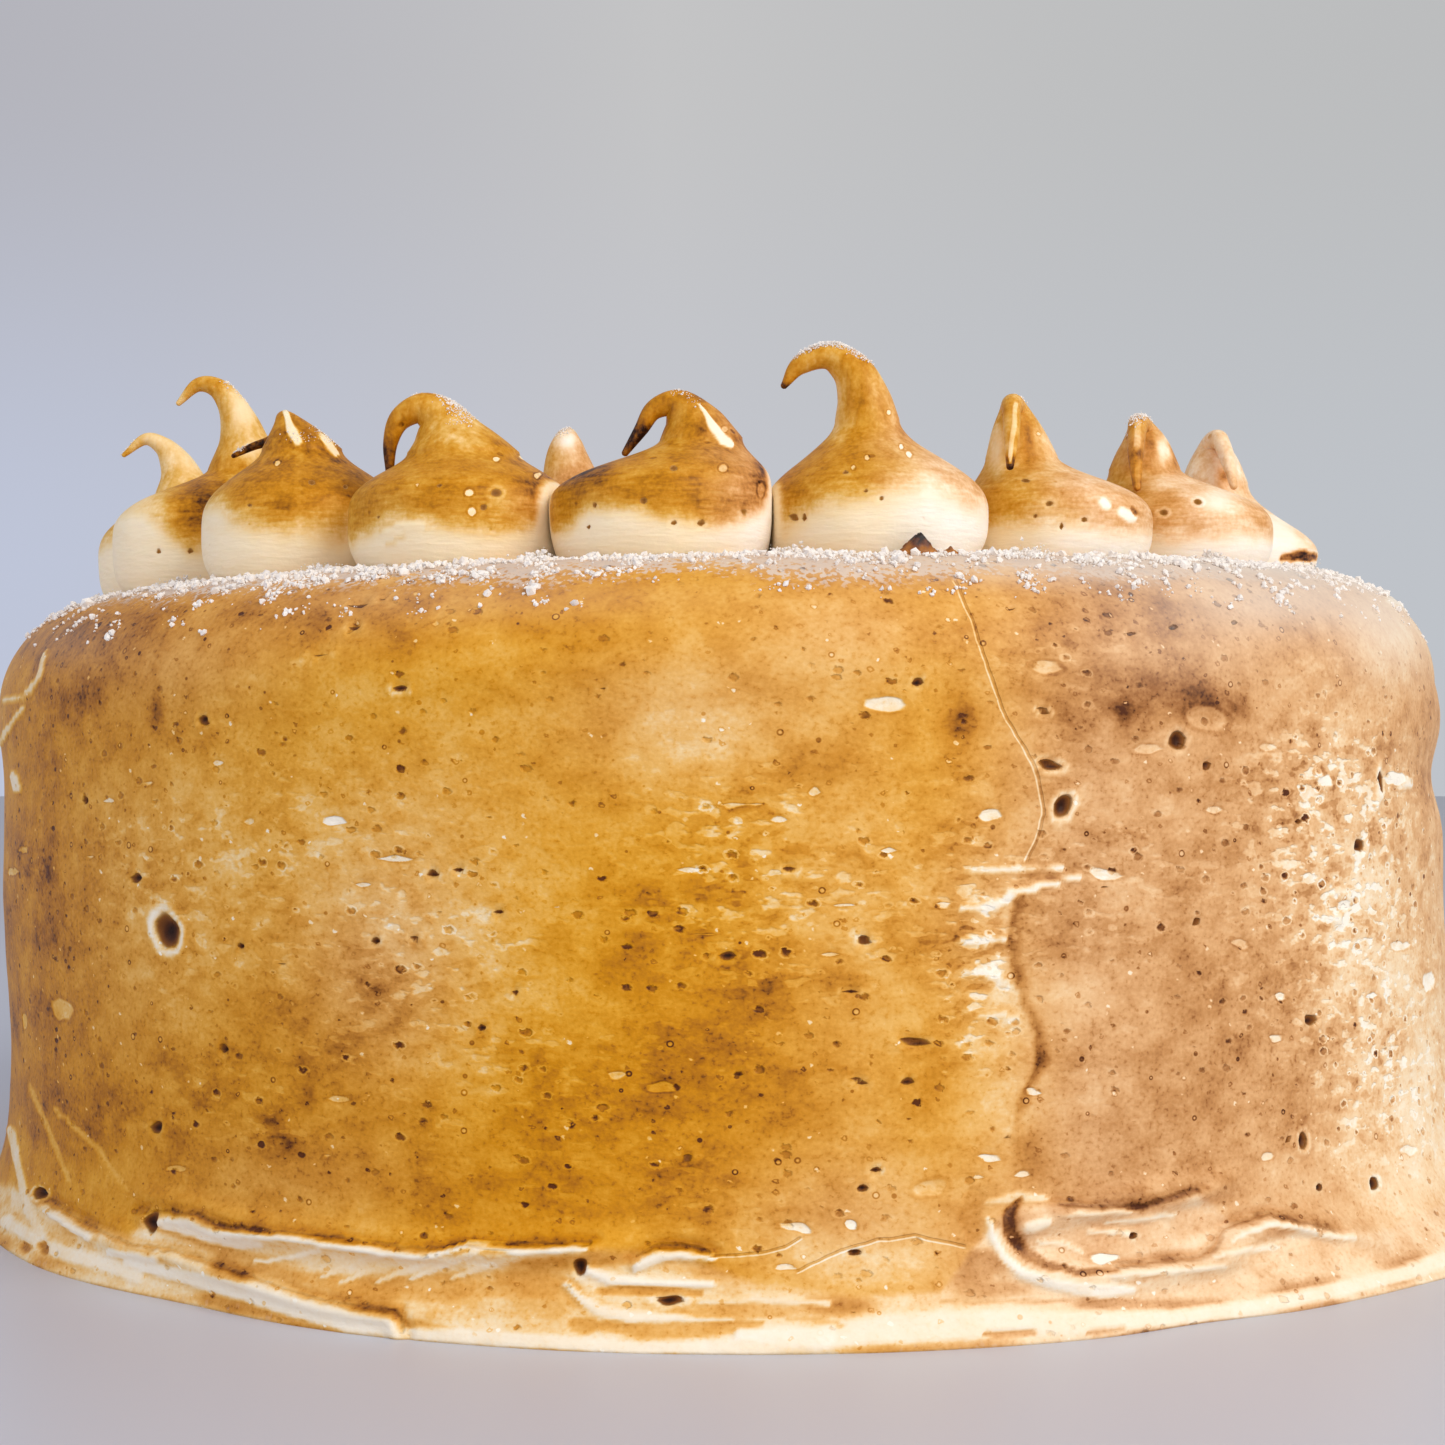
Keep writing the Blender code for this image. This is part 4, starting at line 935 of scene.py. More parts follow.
# By number: bulge radius, bulge height, fullness of the shoulder, and the drawn-out tip from the
# neck to its end as (towards +X, towards +Y, up, half thickness), in mm but for the fullness
FRONT_KISSES = {
    3: (15.2, 7.0, 1.8, (
        (-1.0, 0.0, 19.4, 4.9), (-1.5, 0.0, 22.2, 3.6), (-2.7, 0.0, 24.8, 2.6),
        (-4.8, 0.0, 27.4, 1.6), (-7.8, 0.0, 28.6, 1.0), (-11.4, 0.0, 26.0, 0.4))),
    4: (15.6, 7.0, 2.0, (
        (4.8, 0.0, 20.0, 5.6), (4.8, 0.0, 24.5, 3.9), (3.2, 0.0, 29.4, 2.4),
        (0.6, 0.0, 32.8, 1.6), (-2.6, 0.0, 33.4, 1.1), (-5.6, 0.0, 30.6, 0.45))),
    5: (15.0, 7.0, 1.7, (
        (-0.4, 0.0, 20.0, 5.9), (-1.8, 0.0, 22.8, 3.4), (-3.0, 0.6, 24.7, 1.5),
        (-3.8, 3.4, 24.6, 1.0), (-5.8, 5.6, 22.4, 0.75), (-9.0, 5.8, 21.2, 0.6),
        (-11.6, 5.0, 19.8, 0.35))),
    6: (15.9, 7.0, 1.8, (
        (0.4, 0.0, 17.0, 8.0), (-1.3, 0.0, 19.8, 5.2), (-3.0, 0.0, 22.3, 3.2),
        (-5.7, 0.0, 23.5, 2.2), (-8.7, 0.0, 21.9, 1.6), (-10.0, 0.0, 18.6, 1.05),
        (-10.1, 0.0, 14.6, 0.6))),
    7: (15.9, 7.0, 1.7, (
        (5.4, 0.0, 17.6, 5.7), (4.3, 0.0, 20.4, 3.9), (1.9, 0.0, 22.6, 2.1),
        (-1.2, 0.0, 21.7, 1.4), (-3.0, 0.0, 19.0, 1.0), (-5.2, 0.0, 15.8, 0.5))),
    8: (16.0, 6.5, 1.2, (
        (-1.0, 0.0, 20.2, 4.5), (-1.4, 0.0, 23.4, 3.7), (-3.0, 0.0, 27.0, 2.8),
        (-6.4, 0.0, 29.2, 1.9), (-10.4, 0.0, 28.0, 1.35), (-12.6, 0.0, 25.2, 0.5))),
    9: (13.9, 5.0, 1.6, (
        (-5.0, 0.0, 16.0, 5.2), (-5.6, 0.0, 20.0, 3.7), (-6.2, -0.8, 23.0, 2.0),
        (-6.8, -4.0, 22.7, 1.4), (-7.2, -7.0, 18.4, 1.15), (-7.7, -9.2, 13.6, 0.55))),
    10: (14.2, 5.5, 1.55, (
        (-5.3, 0.0, 16.2, 5.4), (-5.2, 0.0, 19.8, 3.8), (-6.0, -0.8, 22.5, 2.0),
        (-7.0, -4.0, 21.9, 1.5), (-7.8, -7.2, 17.6, 1.2), (-8.0, -9.4, 12.4, 0.6))),
    11: (13.4, 4.6, 0.9, (
        (-3.2, 0.0, 16.4, 5.4), (-3.2, 0.0, 19.8, 4.2), (-3.2, -0.6, 22.9, 2.3),
        (-3.0, -4.2, 22.9, 1.5), (-2.4, -7.6, 19.2, 1.2), (-2.0, -9.8, 15.0, 0.6))),
    12: (14.4, 5.2, 1.0, (
        (-1.0, 0.0, 15.6, 5.4), (-1.2, 0.0, 18.6, 4.0), (-1.6, 0.6, 21.3, 2.3),
        (-2.2, 3.6, 21.5, 1.5), (-2.8, 6.6, 18.6, 1.2), (-3.2, 8.6, 14.6, 0.6))),
}

# For the hidden ones by chance, in mm and degrees, and for the one inside the ring
KISS_BULGE = (14.4, 15.8)
KISS_BULGE_HEIGHT = (5.6, 7.0)
KISS_FULLNESS = (1.3, 2.0)
NECK_HEIGHT = (15.6, 17.0)
NECK_THICKNESS = (4.8, 6.2)
TIP_LENGTH = (12.0, 15.5)
TIP_TURN = (125.0, 195.0)
TIP_HEADING = (140.0, 215.0)
TIP_START = (-2.0, 1.0)
TIP_POINTS = 6
TIP_END = 0.5
TIP_THINNING = 1.5
TIP_CURL = 1.25
INNER_KISS_PLACE = (-0.0230, 0.0020)
INNER_KISS = (14.6, 6.5, 1.5, (
    (-3.0, 0.0, 19.0, 6.2), (-4.0, 0.0, 22.8, 5.0), (-4.6, 0.0, 26.2, 3.9),
    (-4.6, 0.3, 28.9, 2.8), (-4.4, 1.2, 30.2, 1.6), (-4.2, 2.6, 29.8, 0.8)))

# How the front ones were torched, by number: how brown, how soft the edge of the brown is, that
# edge from left to right in the picture, then the share of the tip where it begins to burn,
# where it is burnt, and how dark that end is
KISS_TORCHING = {
    3: (0.42, 14, ((100, 545), (150, 520), (200, 500)), 0.9, 1.0, 0.45),
    4: (0.52, 22, ((116, 520), (165, 535), (190, 548), (240, 540)), 0.9, 1.0, 0.40),
    5: (0.74, 30, ((205, 508), (225, 512), (254, 522), (300, 528), (339, 532), (352, 528)), 0.40, 0.6,
        0.92),
    6: (0.66, 20, ((352, 538), (362, 533), (390, 517), (430, 521), (469, 529), (499, 532), (531, 529),
                   (560, 516)), 0.62, 0.92, 0.88),
    7: (0.71, 18, ((564, 528), (572, 522), (588, 502), (619, 505), (645, 511), (672, 517), (703, 524),
                   (734, 523), (764, 508), (770, 500)), 0.62, 0.84, 0.98),
    8: (0.58, 26, ((770, 532), (782, 527), (808, 513), (832, 502), (863, 496), (895, 494), (927, 492),
                   (951, 498), (981, 508)), 0.93, 1.0, 0.92),
    9: (0.52, 20, ((970, 533), (1020, 524), (1069, 525), (1105, 534), (1148, 536)), 0.90, 0.97, 0.98),
    10: (0.57, 18, ((1148, 538), (1190, 538), (1239, 532), (1263, 535), (1290, 540)), 0.60, 0.95, 0.78),
    11: (0.38, 20, ((1200, 532), (1240, 528), (1262, 524), (1290, 536), (1320, 556)), 0.9, 1.0, 0.50),
    20: (0.56, 12, ((530, 512), (600, 512)), 0.9, 1.0, 0.56),
}

# By number: blots of more (+) or less (-) torching, a few of them painted highlights and shadows as
# marked, as picture place, half sizes, strength; then the strokes that the nozzle left, as on the coat,
# with painted shade round the curl of kiss 6; then pits and burst bubbles, as on the coat
KISS_BLOTS = {
    3: ((120, 445, 10, 24, 0.06), (190, 452, 24, 26, -0.26), (112, 560, 10, 16, 0.20),
        (156, 440, 16, 10, -0.18)),
    4: ((204, 505, 32, 32, 0.40), (138, 520, 26, 44, -0.36), (243, 410, 18, 30, -0.42),
        (214, 440, 12, 34, 0.05), (250, 452, 12, 10, -0.35)),
    5: ((322, 516, 16, 18, -0.12), (298, 480, 4, 60, -0.10), (212, 512, 14, 40, -0.22),
        (255, 490, 20, 20, 0.04)),
    6: ((462, 426, 36, 28, -0.26), (506, 508, 26, 14, -0.16), (540, 486, 20, 20, 0.20),
        (400, 398, 20, 18, -0.08), (440, 470, 26, 24, 0.02), (392, 500, 26, 14, -0.02)),
    7: ((762, 478, 8, 30, 0.10), (585, 470, 26, 18, 0.20), (655, 450, 14, 16, -0.14),
        (735, 430, 22, 30, -0.06), (735, 484, 16, 18, -0.12), (640, 478, 50, 14, -0.03)),
    # Kiss 8: the pale streak on the left of its neck is a painted highlight
    8: ((795, 488, 22, 20, 0.13), (878, 400, 12, 50, -0.04), (935, 480, 44, 26, -0.20),
        (846, 468, 26, 16, 0.12), (856, 400, 12, 40, 0.10), (832, 450, 26, 12, 0.08),
        (836, 404, 7, 40, -0.24)),
    # Kiss 9: the brown blot in the hollow right of its strand is a painted shadow, and the pale one on the ridge
    # beyond it a painted highlight
    9: ((998, 500, 26, 16, 0.12), (1100, 482, 30, 20, -0.12), (1029, 440, 6, 26, 0.32),
        (997, 450, 10, 26, -0.34), (1052, 440, 8, 26, -0.16)),
    10: ((1218, 502, 26, 20, -0.44), (1160, 508, 16, 16, 0.08), (1168, 482, 22, 8, -0.24),
         (1152, 448, 5, 20, 0.20), (1164, 450, 6, 16, -0.42), (1177, 448, 5, 22, 0.24),
         (1192, 455, 8, 20, -0.14)),
    11: ((1240, 450, 12, 30, -0.14), (1285, 520, 20, 20, -0.16), (1224, 476, 5, 5, 0.40),
         (1210, 520, 20, 20, 0.06)),
    # The kiss inside the ring: a painted highlight on its top
    20: ((567, 440, 12, 12, -0.56),),
}
KISS_SMEARS = {
    5: ((0.03, ((284, 412, 2.5), (290, 426, 4.5), (297, 440, 5.5))),
        (0.05, ((320, 436, 2), (329, 447, 3.5), (336, 455, 2.5)))),
    # Kiss 6's peeled curl: cream, with browner strokes showing above and below it as painted shade
    6: ((0.34, ((384, 528, 4), (398, 522, 6), (411, 522, 5), (423, 525, 7))),
        (0.06, ((385, 532, 3), (398, 526, 5), (411, 525, 4), (421, 527, 5))),
        (0.20, ((386, 545, 2), (395, 541, 3), (404, 535, 3)))),
    7: ((0.0, ((699, 406, 1.2), (708, 421, 3.2), (722, 440, 5.0), (731, 446, 3.0))),),
    9: ((0.24, ((1016, 404, 2.5), (1013, 428, 3), (1011, 456, 2.5))),
        (0.05, ((1103, 501, 3.5), (1107, 507, 4))),
        (0.05, ((1122, 514, 5), (1131, 518, 6))),
        (0.80, ((1133, 509, 3), (1135, 513, 3)))),
    10: ((0.36, ((1138, 422, 3), (1138, 445, 3))), (0.66, ((1138, 462, 2.5), (1138, 488, 2)))),
    11: ((0.10, ((1306, 556, 5), (1322, 558, 6))), (0.86, ((1284, 558, 4), (1300, 556, 6), (1314, 559, 4)))),
}
KISS_PITS = (
    (496, 493, 11, 8, 0, 0.5), (485, 508, 7, 7, 0, 0.3), (673, 468, 8, 6, 0, 0.1),
    (643, 501, 7, 8, 0, 0.1), (594, 503, 5, 6, 0, 0.1), (744, 513, 7, 8, 0, 0.2),
    (701, 524, 8, 8, 0, 0.1), (674, 523, 6, 6, 0, 0.1), (588, 526, 5, 5, 0, 0.0),
    (793, 516, 10, 7, -30, 0.1), (804, 516, 6, 8, 0, 0.0), (845, 473, 9, 4, 0, 0.3),
    (866, 490, 7, 4, 0, 0.1), (882, 498, 6, 4, 0, 0.2), (1050, 502, 8, 6, 0, 0.3),
    (1036, 516, 6, 4, 0, 0.1), (1085, 520, 6, 6, 0, 0.1), (1062, 527, 5, 8, 0, 0.1),
    (1163, 512, 10, 6, 0, 0.4), (1199, 502, 9, 6, 0, 0.4), (248, 506, 5, 5, 0, 0.0),
    (312, 482, 7, 5, 0, 0.0), (345, 488, 5, 5, 0, 0.0), (158, 550, 6, 5, 0, 0.0),
    (191, 550, 6, 7, 0, 0.0), (440, 486, 6, 4, 0, 0.0), (378, 517, 5, 5, 0, 0.0),
    (1026, 480, 9, 4, 0, 0.1),
)
KISS_BUBBLES = (
    (470, 493, 9, 8, 0, 0.9), (472, 512, 9, 8, 0, 0.9), (417, 485, 4, 5, 0, 0.6),
    (497, 461, 7, 5, 0, 0.9), (523, 459, 10, 5, -20, 0.9), (538, 477, 6, 6, 0, 0.9),
    (723, 469, 8, 7, 0, 0.5), (724, 430, 6, 6, 0, 0.4), (761, 492, 8, 13, 0, 0.3),
    (902, 447, 5, 7, 0, 0.9), (910, 455, 5, 8, 20, 0.8), (889, 413, 5, 5, 0, 0.7),
    (868, 457, 5, 5, 0, 0.6), (854, 467, 5, 5, 0, 0.6), (277, 463, 6, 6, 0, 0.8),
    (1039, 434, 4, 4, 0, 0.4),
)


def turned_over_tip(rng):
    """A tip that rises from the neck and falls over, for a kiss that the picture doesn't show."""
    neck_height = rng.uniform(*NECK_HEIGHT)
    neck_radius = rng.uniform(*NECK_THICKNESS)
    length = rng.uniform(*TIP_LENGTH)
    turn = math.radians(rng.uniform(*TIP_TURN))
    heading = math.radians(rng.uniform(*TIP_HEADING))
    out = rng.uniform(*TIP_START)
    up = neck_height
    points = []
    for i in range(TIP_POINTS):
        along = i / (TIP_POINTS - 1)
        thickness = TIP_END + (neck_radius - TIP_END) * (1.0 - along) ** TIP_THINNING
        points.append((out * math.cos(heading), out * math.sin(heading), up, thickness))
        lean = turn * (along + 0.1) ** TIP_CURL
        out += length / (TIP_POINTS - 1) * math.sin(lean)
        up += length / (TIP_POINTS - 1) * math.cos(lean)
    return tuple(points)


def smooth_through(points, places):
    """Values on one smooth curve through the given points, at these shares of its length."""
    ends = [[2 * a - b for a, b in zip(points[0], points[1])],
            [2 * a - b for a, b in zip(points[-1], points[-2])]]
    padded = [ends[0]] + [list(point) for point in points] + [ends[1]]
    found = []
    for share in places:
        spot = share * (len(points) - 1)
        start = min(int(spot), len(points) - 2)
        t = spot - start
        found.append([
            0.5 * (2 * b + (c - a) * t + (2 * a - 5 * b + 4 * c - d) * t ** 2
                   + (3 * b - a - 3 * c + d) * t ** 3)
            for a, b, c, d in zip(*padded[start:start + 4])])
    return found


def kiss_rings(bulge_radius, bulge_height, fullness, tip, turn):
    """Rings of points from the foot to the end of the tip in mm, and each ring's share of the tip."""
    neck_x, neck_y, neck_height, neck_radius = tip[0]
    rings, shares = [], []
    foot_heights = np.linspace(0.0, bulge_height, KISS_FOOT_ROWS, endpoint=False)
    body_heights = np.linspace(bulge_height, neck_height, BODY_ROWS - KISS_FOOT_ROWS)
    for height in np.concatenate((foot_heights, body_heights)):
        if height < bulge_height:
            radius = bulge_radius * (1.0 - FOOT_TUCK * (1.0 - height / bulge_height) ** FOOT_ROUNDING)
            leaning = 0.0
        else:
            share = ((height - bulge_height) / (neck_height - bulge_height)) ** fullness
            radius = neck_radius + (bulge_radius - neck_radius) * (0.5 + 0.5 * math.cos(math.pi * share))
            leaning = (bulge_radius - radius) / (bulge_radius - neck_radius)
        rings.append(np.stack((neck_x * leaning + radius * np.cos(turn),
                               neck_y * leaning + radius * np.sin(turn), height + 0.0 * turn), axis=1))
        shares.append(0.0)
    places = np.linspace(0.0, 1.0, TIP_ROWS + 1)
    path = smooth_through(tip, places)
    facing, across = Vector((0.0, 0.0, 1.0)), Vector((1.0, 0.0, 0.0))
    for i in range(1, TIP_ROWS + CAP_ROWS + 1):
        row = min(i, TIP_ROWS)
        over = (i - row) / (CAP_ROWS + 0.2)
        centre, before = Vector(path[row][:3]), Vector(path[row - 1][:3])
        after = Vector(path[min(row + 1, TIP_ROWS)][:3])
        upright = max(0.0, 1.0 - places[row] / UPRIGHT_SHARE)
        ahead = (after - before).normalized().lerp(Vector((0.0, 0.0, 1.0)), upright).normalized()
        across = facing.rotation_difference(ahead) @ across
        facing = ahead
        beside = facing.cross(across)
        radius = path[row][3] * math.sqrt(max(0.0, 1.0 - over ** 2))
        centre = np.array(centre + facing * path[row][3] * over)
        rings.append(centre + radius * (np.outer(np.cos(turn), across) + np.outer(np.sin(turn), beside)))
        shares.append(places[row])
    return np.array(rings), np.array(shares)


def pressed(points, angle):
    """Keeps a kiss on its own side of the flat faces where it meets its neighbours, in mm. Also
    how far inside the nearer face each point is."""
    turn = math.radians(angle)
    outward = np.array((math.sin(turn), -math.cos(turn), 0.0))
    along = np.array((math.cos(turn), math.sin(turn), 0.0))
    spread = math.tan(math.radians(KISS_STEP / 2))
    limit = (RING_RADIUS * 1000.0 + points @ outward) * spread - CONTACT * 1000.0
    aside = points @ along
    beyond = np.abs(aside) - limit
    soft = 0.5 * (beyond + np.sqrt(beyond ** 2 + CONTACT_ROUNDING))
    return points - (np.sign(aside) * soft)[..., None] * along, -beyond


# Piped meringue, browned by the torch: matt and cream below, satin golden brown above, with fine
# upright strands of 1.3 mm and flat strokes of 3 mm where the nozzle pulled the skin
KISS_MARKS = ("toast_and_shading", "peach_and_sheen", "pit", "bubble", "bubble_pale")
toasted_kiss, tree, shader = new_material("toasted_piped_meringue")
place = add("TexCoord", out="Object")
painted = {name: add("Attribute", (), {"attribute_name": name}, "Fac") for name in KISS_MARKS}

# Mottling of the skin, weaker where it is pale: blots of 4 mm, freckles under 1 mm, and the flat
# strokes of the body, which turn into upright strands on the neck
browned = add("MapRange", (painted["toast_and_shading"], 0.08, 0.40), SMOOTHLY)
blotting = speckle(4.0, 1.2, 5.0, 0.3)
freckles = speckle(0.6, 1.0, 3.0, 0.9)
strands = speckle(1.3, 0.28, 3.0, 0.5)
strokes = speckle(3.4, 5.0, 3.0, 1.5)
on_neck = add("MapRange", (add("SeparateXYZ", (place,), out="Z"), 0.010, 0.018), SMOOTHLY)
drawn = add("Mix", {SHARE: on_neck, NUMBER_UNDER: strokes, NUMBER_OVER: strands}, {"data_type": "FLOAT"})
mottling = swings((freckles, 0.34), (blotting, 0.50), (drawn, 0.46))
mottled = add("Math", (browned, 0.85, 0.15), TIMES_PLUS)

# Scorched specks, and burst bubbles with a pale floor and a brown rim
speck_gap, speck_dice = dots(place, 3.6, 1.2, 1.7)
speck_edge = add("MapRange", (add("Math", (speck_dice[0], 3.0), POWER), 0.0, 1.0, -0.02, 0.15), SMOOTHLY)
speck = add("MapRange", (add("Math", (speck_gap, speck_edge), MINUS), 0.05, -0.05), SMOOTHLY)
speck_tone = add("Math", (browned, 0.16, 0.05), TIMES_PLUS)
bubble_floor = add("MapRange", (painted["bubble"], 1.1, 0.8), SMOOTHLY)
bubble_floor = add("Math", (bubble_floor, painted["bubble_pale"]), TIMES)
bubble_rim = ring(painted["bubble"], 1.3, 0.35, 0.05)

# How torched every spot is, painted highlights and shadows included, and its colour for that in golden
# skin, in peach skin under a painted sheen, and in burnt pits
toasting_and_shading = laid_on(painted["toast_and_shading"], ((mottling, mottled), (speck, speck_tone), (bubble_rim, 0.10)))
toasting_and_shading = add("Math", (bubble_floor, -0.62, toasting_and_shading), TIMES_PLUS_CLAMPED)
golden_skin = add("ValToRGB", (toasting_and_shading,), stops=(
    (0.00, "fde9c6"), (0.12, "f9dfb0"), (0.26, "f0cb8c"), (0.40, "e3b460"), (0.54, "d59a34"),
    (0.68, "c48214"), (0.82, "a0640c"), (0.92, "6c3e10"), (1.00, "28120a")))
sheened_peach_skin = add("ValToRGB", (toasting_and_shading,), stops=(
    (0.00, "fff7ec"), (0.12, "fcecd6"), (0.26, "f5d7b2"), (0.40, "ebc092"), (0.54, "dca56c"),
    (0.68, "c78a4a"), (0.82, "9e6634"), (0.92, "683c20"), (1.00, "28120a")))
burnt = add("ValToRGB", (painted["pit"],), stops=((0.0, "6e4012"), (0.7, "976426"), (1.0, "bd8c4c")))
pit_floor = add("MapRange", (painted["pit"], 1.15, 0.80), SMOOTHLY)
skin = add("Mix", {SHARE: painted["peach_and_sheen"], UNDER: golden_skin, OVER: sheened_peach_skin}, COLOURS, MIXED)
skin = add("Mix", {SHARE: pit_floor, UNDER: skin, OVER: burnt}, COLOURS, MIXED)
tree.links.new(skin, shader.inputs["Base Color"])

# Relief finer than the mesh, a satin shine on the browned skin, and light that goes a little way in
depth = laid_on(0.0, ((drawn, 0.8), (speck, -0.4), (pit_floor, -0.9), (bubble_floor, -0.3)))
coarse = add("Bump", {"Strength": 0.5, "Distance": 0.0004, "Height": depth})
fine = add("Bump", {"Strength": 0.3, "Distance": 0.00015, "Height": freckles, "Normal": coarse})
tree.links.new(fine, shader.inputs["Normal"])
tree.links.new(add("MapRange", (toasting_and_shading, 0.2, 0.9, 0.58, 0.42), SMOOTHLY), shader.inputs["Roughness"])
shader.inputs["IOR"].default_value = 1.45
shader.inputs["Specular IOR Level"].default_value = 0.14
shader.inputs["Subsurface Weight"].default_value = 0.12
shader.inputs["Subsurface Radius"].default_value = (1.0, 0.65, 0.35)
shader.inputs["Subsurface Scale"].default_value = 0.0018

# Columns round a kiss on its front half and its back half, for the kisses that the picture shows
# and for the others; its skin, its torching, and where icing sugar can lie on it
SHOWN_AROUND = (120, 44)
HIDDEN_AROUND = (32, 32)
SWIRL_SIZE = 0.007
SWIRL_DEPTH = 0.00018
RIPPLE_SIZE = 0.0022
RIPPLE_DEPTH = 0.00004
THICK = 6.0  # mm
KISS_RAGGED = 2.5
STROKE_DEPTH = 0.0004
KISS_PIT_DEPTH = 0.0003
HIDDEN_TOAST = 0.62
HIDDEN_BROWN_START = (4.5, 9.5)  # mm
HIDDEN_BROWN_SOFTNESS = 2.6  # mm
PALE_CONTACT = 0.85
RIGHT_SHEEN = 13.0
INNER_PEACH = 0.9
SUGARED_HEIGHT = 20.5  # mm
SUGARED_SLOPE = 0.6
sugar_spots, sugar_ways = [], []


def pipe_kiss(number, place, shape, angle, torching):
    """One kiss as its own piece, on the top of the cake."""
    shown = number in KISS_TORCHING
    front, back = SHOWN_AROUND if shown else HIDDEN_AROUND
    turn = np.concatenate((np.linspace(-math.pi, 0.0, front, endpoint=False),
                           np.linspace(0.0, math.pi, back, endpoint=False)))
    rings, shares = kiss_rings(*shape, turn)
    along = shares[:, None] + 0.0 * rings[..., 0]
    inside = np.full(rings.shape[:2], FAR)
    if angle is not None:
        touching = slice(BODY_ROWS - FREE_ROWS)
        rings[touching], inside[touching] = pressed(rings[touching], angle)
    seat = (place[0], place[1], TOP_HEIGHT + TOP_TILT * place[0])
    world = rings / 1000.0 + np.array(seat)

    # The skin has swirls and ripples, which are weaker where the kiss is thin
    swirl = grain(world, SWIRL_SIZE, 1.6, 7.0)
    ripple = grain(world, RIPPLE_SIZE, 0.5, 17.0)
    out = rings - rings.mean(axis=1, keepdims=True)
    length = np.linalg.norm(out, axis=2, keepdims=True)
    thin = np.clip(length[..., 0] / THICK, 0.05, 1.0)
    relief = (SWIRL_DEPTH * swirl + RIPPLE_DEPTH * ripple) * thin

    # How torched it is, with painted highlights and shadows among the marks: by the marks of the picture
    # where that shows it, and by its height elsewhere
    x, y = in_picture(world)
    x, y = x + KISS_RAGGED * ripple, y + KISS_RAGGED * grain(world, RIPPLE_SIZE, 1.0, 27.0)
    shaded = (rings[..., 1] > 1.0) & (along < 0.3)
    high = rings[..., 2] + 1.6 * swirl + 0.8 * ripple
    pit, bubble, bubble_pale = np.full(x.shape, FAR), np.full(x.shape, FAR), 0.0 * x
    if shown:
        depth, softness, edge, burns, burnt, darkest = torching
        line = np.interp(x, [point[0] for point in edge], [point[1] for point in edge])
        toast_and_shading = depth * ease(-softness, softness, line - y + 4.0 * swirl)
        away = ease(0.5, 5.0, rings[..., 1]) * (1.0 - ease(0.0, 0.2, along))
        toast_and_shading = toast_and_shading + (HIDDEN_TOAST * ease(*HIDDEN_BROWN_START, high) - toast_and_shading) * away
        toast_and_shading = toast_and_shading + blots(KISS_BLOTS.get(number, ()), x, y) * ease(0.0, 0.25, toast_and_shading)
        toast_and_shading = toast_and_shading + (darkest - toast_and_shading) * ease(burns, burnt, along)
        toast_and_shading, smear_relief = smeared(toast_and_shading, KISS_SMEARS.get(number, ()), x, y, np.where(shaded, 0.0, 1.0))
        pit, pit_rim = nearest(KISS_PITS, x, y)
        bubble, bubble_pale = nearest(KISS_BUBBLES, x, y)
        pit, bubble = pit + FAR * shaded, bubble + FAR * shaded
        toast_and_shading = toast_and_shading - 0.4 * pit_rim * bell(pit - 1.5, 0.4)
        relief = relief + STROKE_DEPTH * smear_relief - KISS_PIT_DEPTH * (1.0 - ease(0.3, 1.3, pit))
    else:
        begins, leans, depth, darkest = torching
        begins = begins + leans * rings[..., 0] / 15.0
        toast_and_shading = depth * ease(-HIDDEN_BROWN_SOFTNESS, HIDDEN_BROWN_SOFTNESS, high - begins)
        toast_and_shading = toast_and_shading + (darkest - toast_and_shading) * ease(0.8, 1.0, along)
    toast_and_shading = toast_and_shading + 0.05 * swirl * ease(0.0, 0.3, toast_and_shading)

    # The flame didn't reach in between the kisses. The right side of each kiss, and the kisses on the right,
    # are peachier: a painted sheen of the lamp on that side; the kiss inside the ring is peachier all over.
    toast_and_shading = toast_and_shading * (1.0 - PALE_CONTACT * (1.0 - ease(0.3, 1.5, inside)))
    peach_and_sheen_shift = INNER_PEACH if angle is None else RIGHT_SHEEN * place[0]
    peach_and_sheen = ease(0.0, 0.9, rings[..., 0] / 14.0 + 0.25 * swirl + peach_and_sheen_shift)

    local = rings / 1000.0 + out / np.maximum(length, 1e-6) * relief[..., None]
    local[..., 2] += TOP_TILT * local[..., 0]

    # The piece, with the slopes at the top of it that icing sugar can lie on
    name = "meringue_kiss_%02d" % number
    mesh = grid_mesh(name, local)
    paint(mesh, {"toast_and_shading": toast_and_shading, "peach_and_sheen": peach_and_sheen, "pit": pit, "bubble": bubble, "bubble_pale": bubble_pale})
    kiss = show(name, mesh, toasted_kiss)
    kiss.location = seat
    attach(kiss, "root")
    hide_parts("kiss_%02d" % number)
    ways = np.empty(len(mesh.vertices) * 3)
    mesh.vertex_normals.foreach_get("vector", ways)
    ways = ways.reshape(-1, 3)
    upward = (ways[:, 2] > SUGARED_SLOPE) & (rings.reshape(-1, 3)[:, 2] > SUGARED_HEIGHT)
    sugar_spots.append((local + np.array(kiss.location)).reshape(-1, 3)[upward])
    sugar_ways.append(ways[upward])


# The ring, and last the kiss inside it. The hidden ones are torched by chance: how high up in mm the
# brown begins, how much higher on the right, how brown they are, and how dark their ends.
PIPING_SEED = 19
TORCHING_SEED = 7
BROWN_BEGINS = (5.0, 8.0)
BROWN_LEANS = (-3.0, 3.0)
BROWN_DEPTH = (0.52, 0.76)
END_DARKNESS = (0.5, 0.95)
INNER_KISS_NUMBER = KISS_COUNT + 1

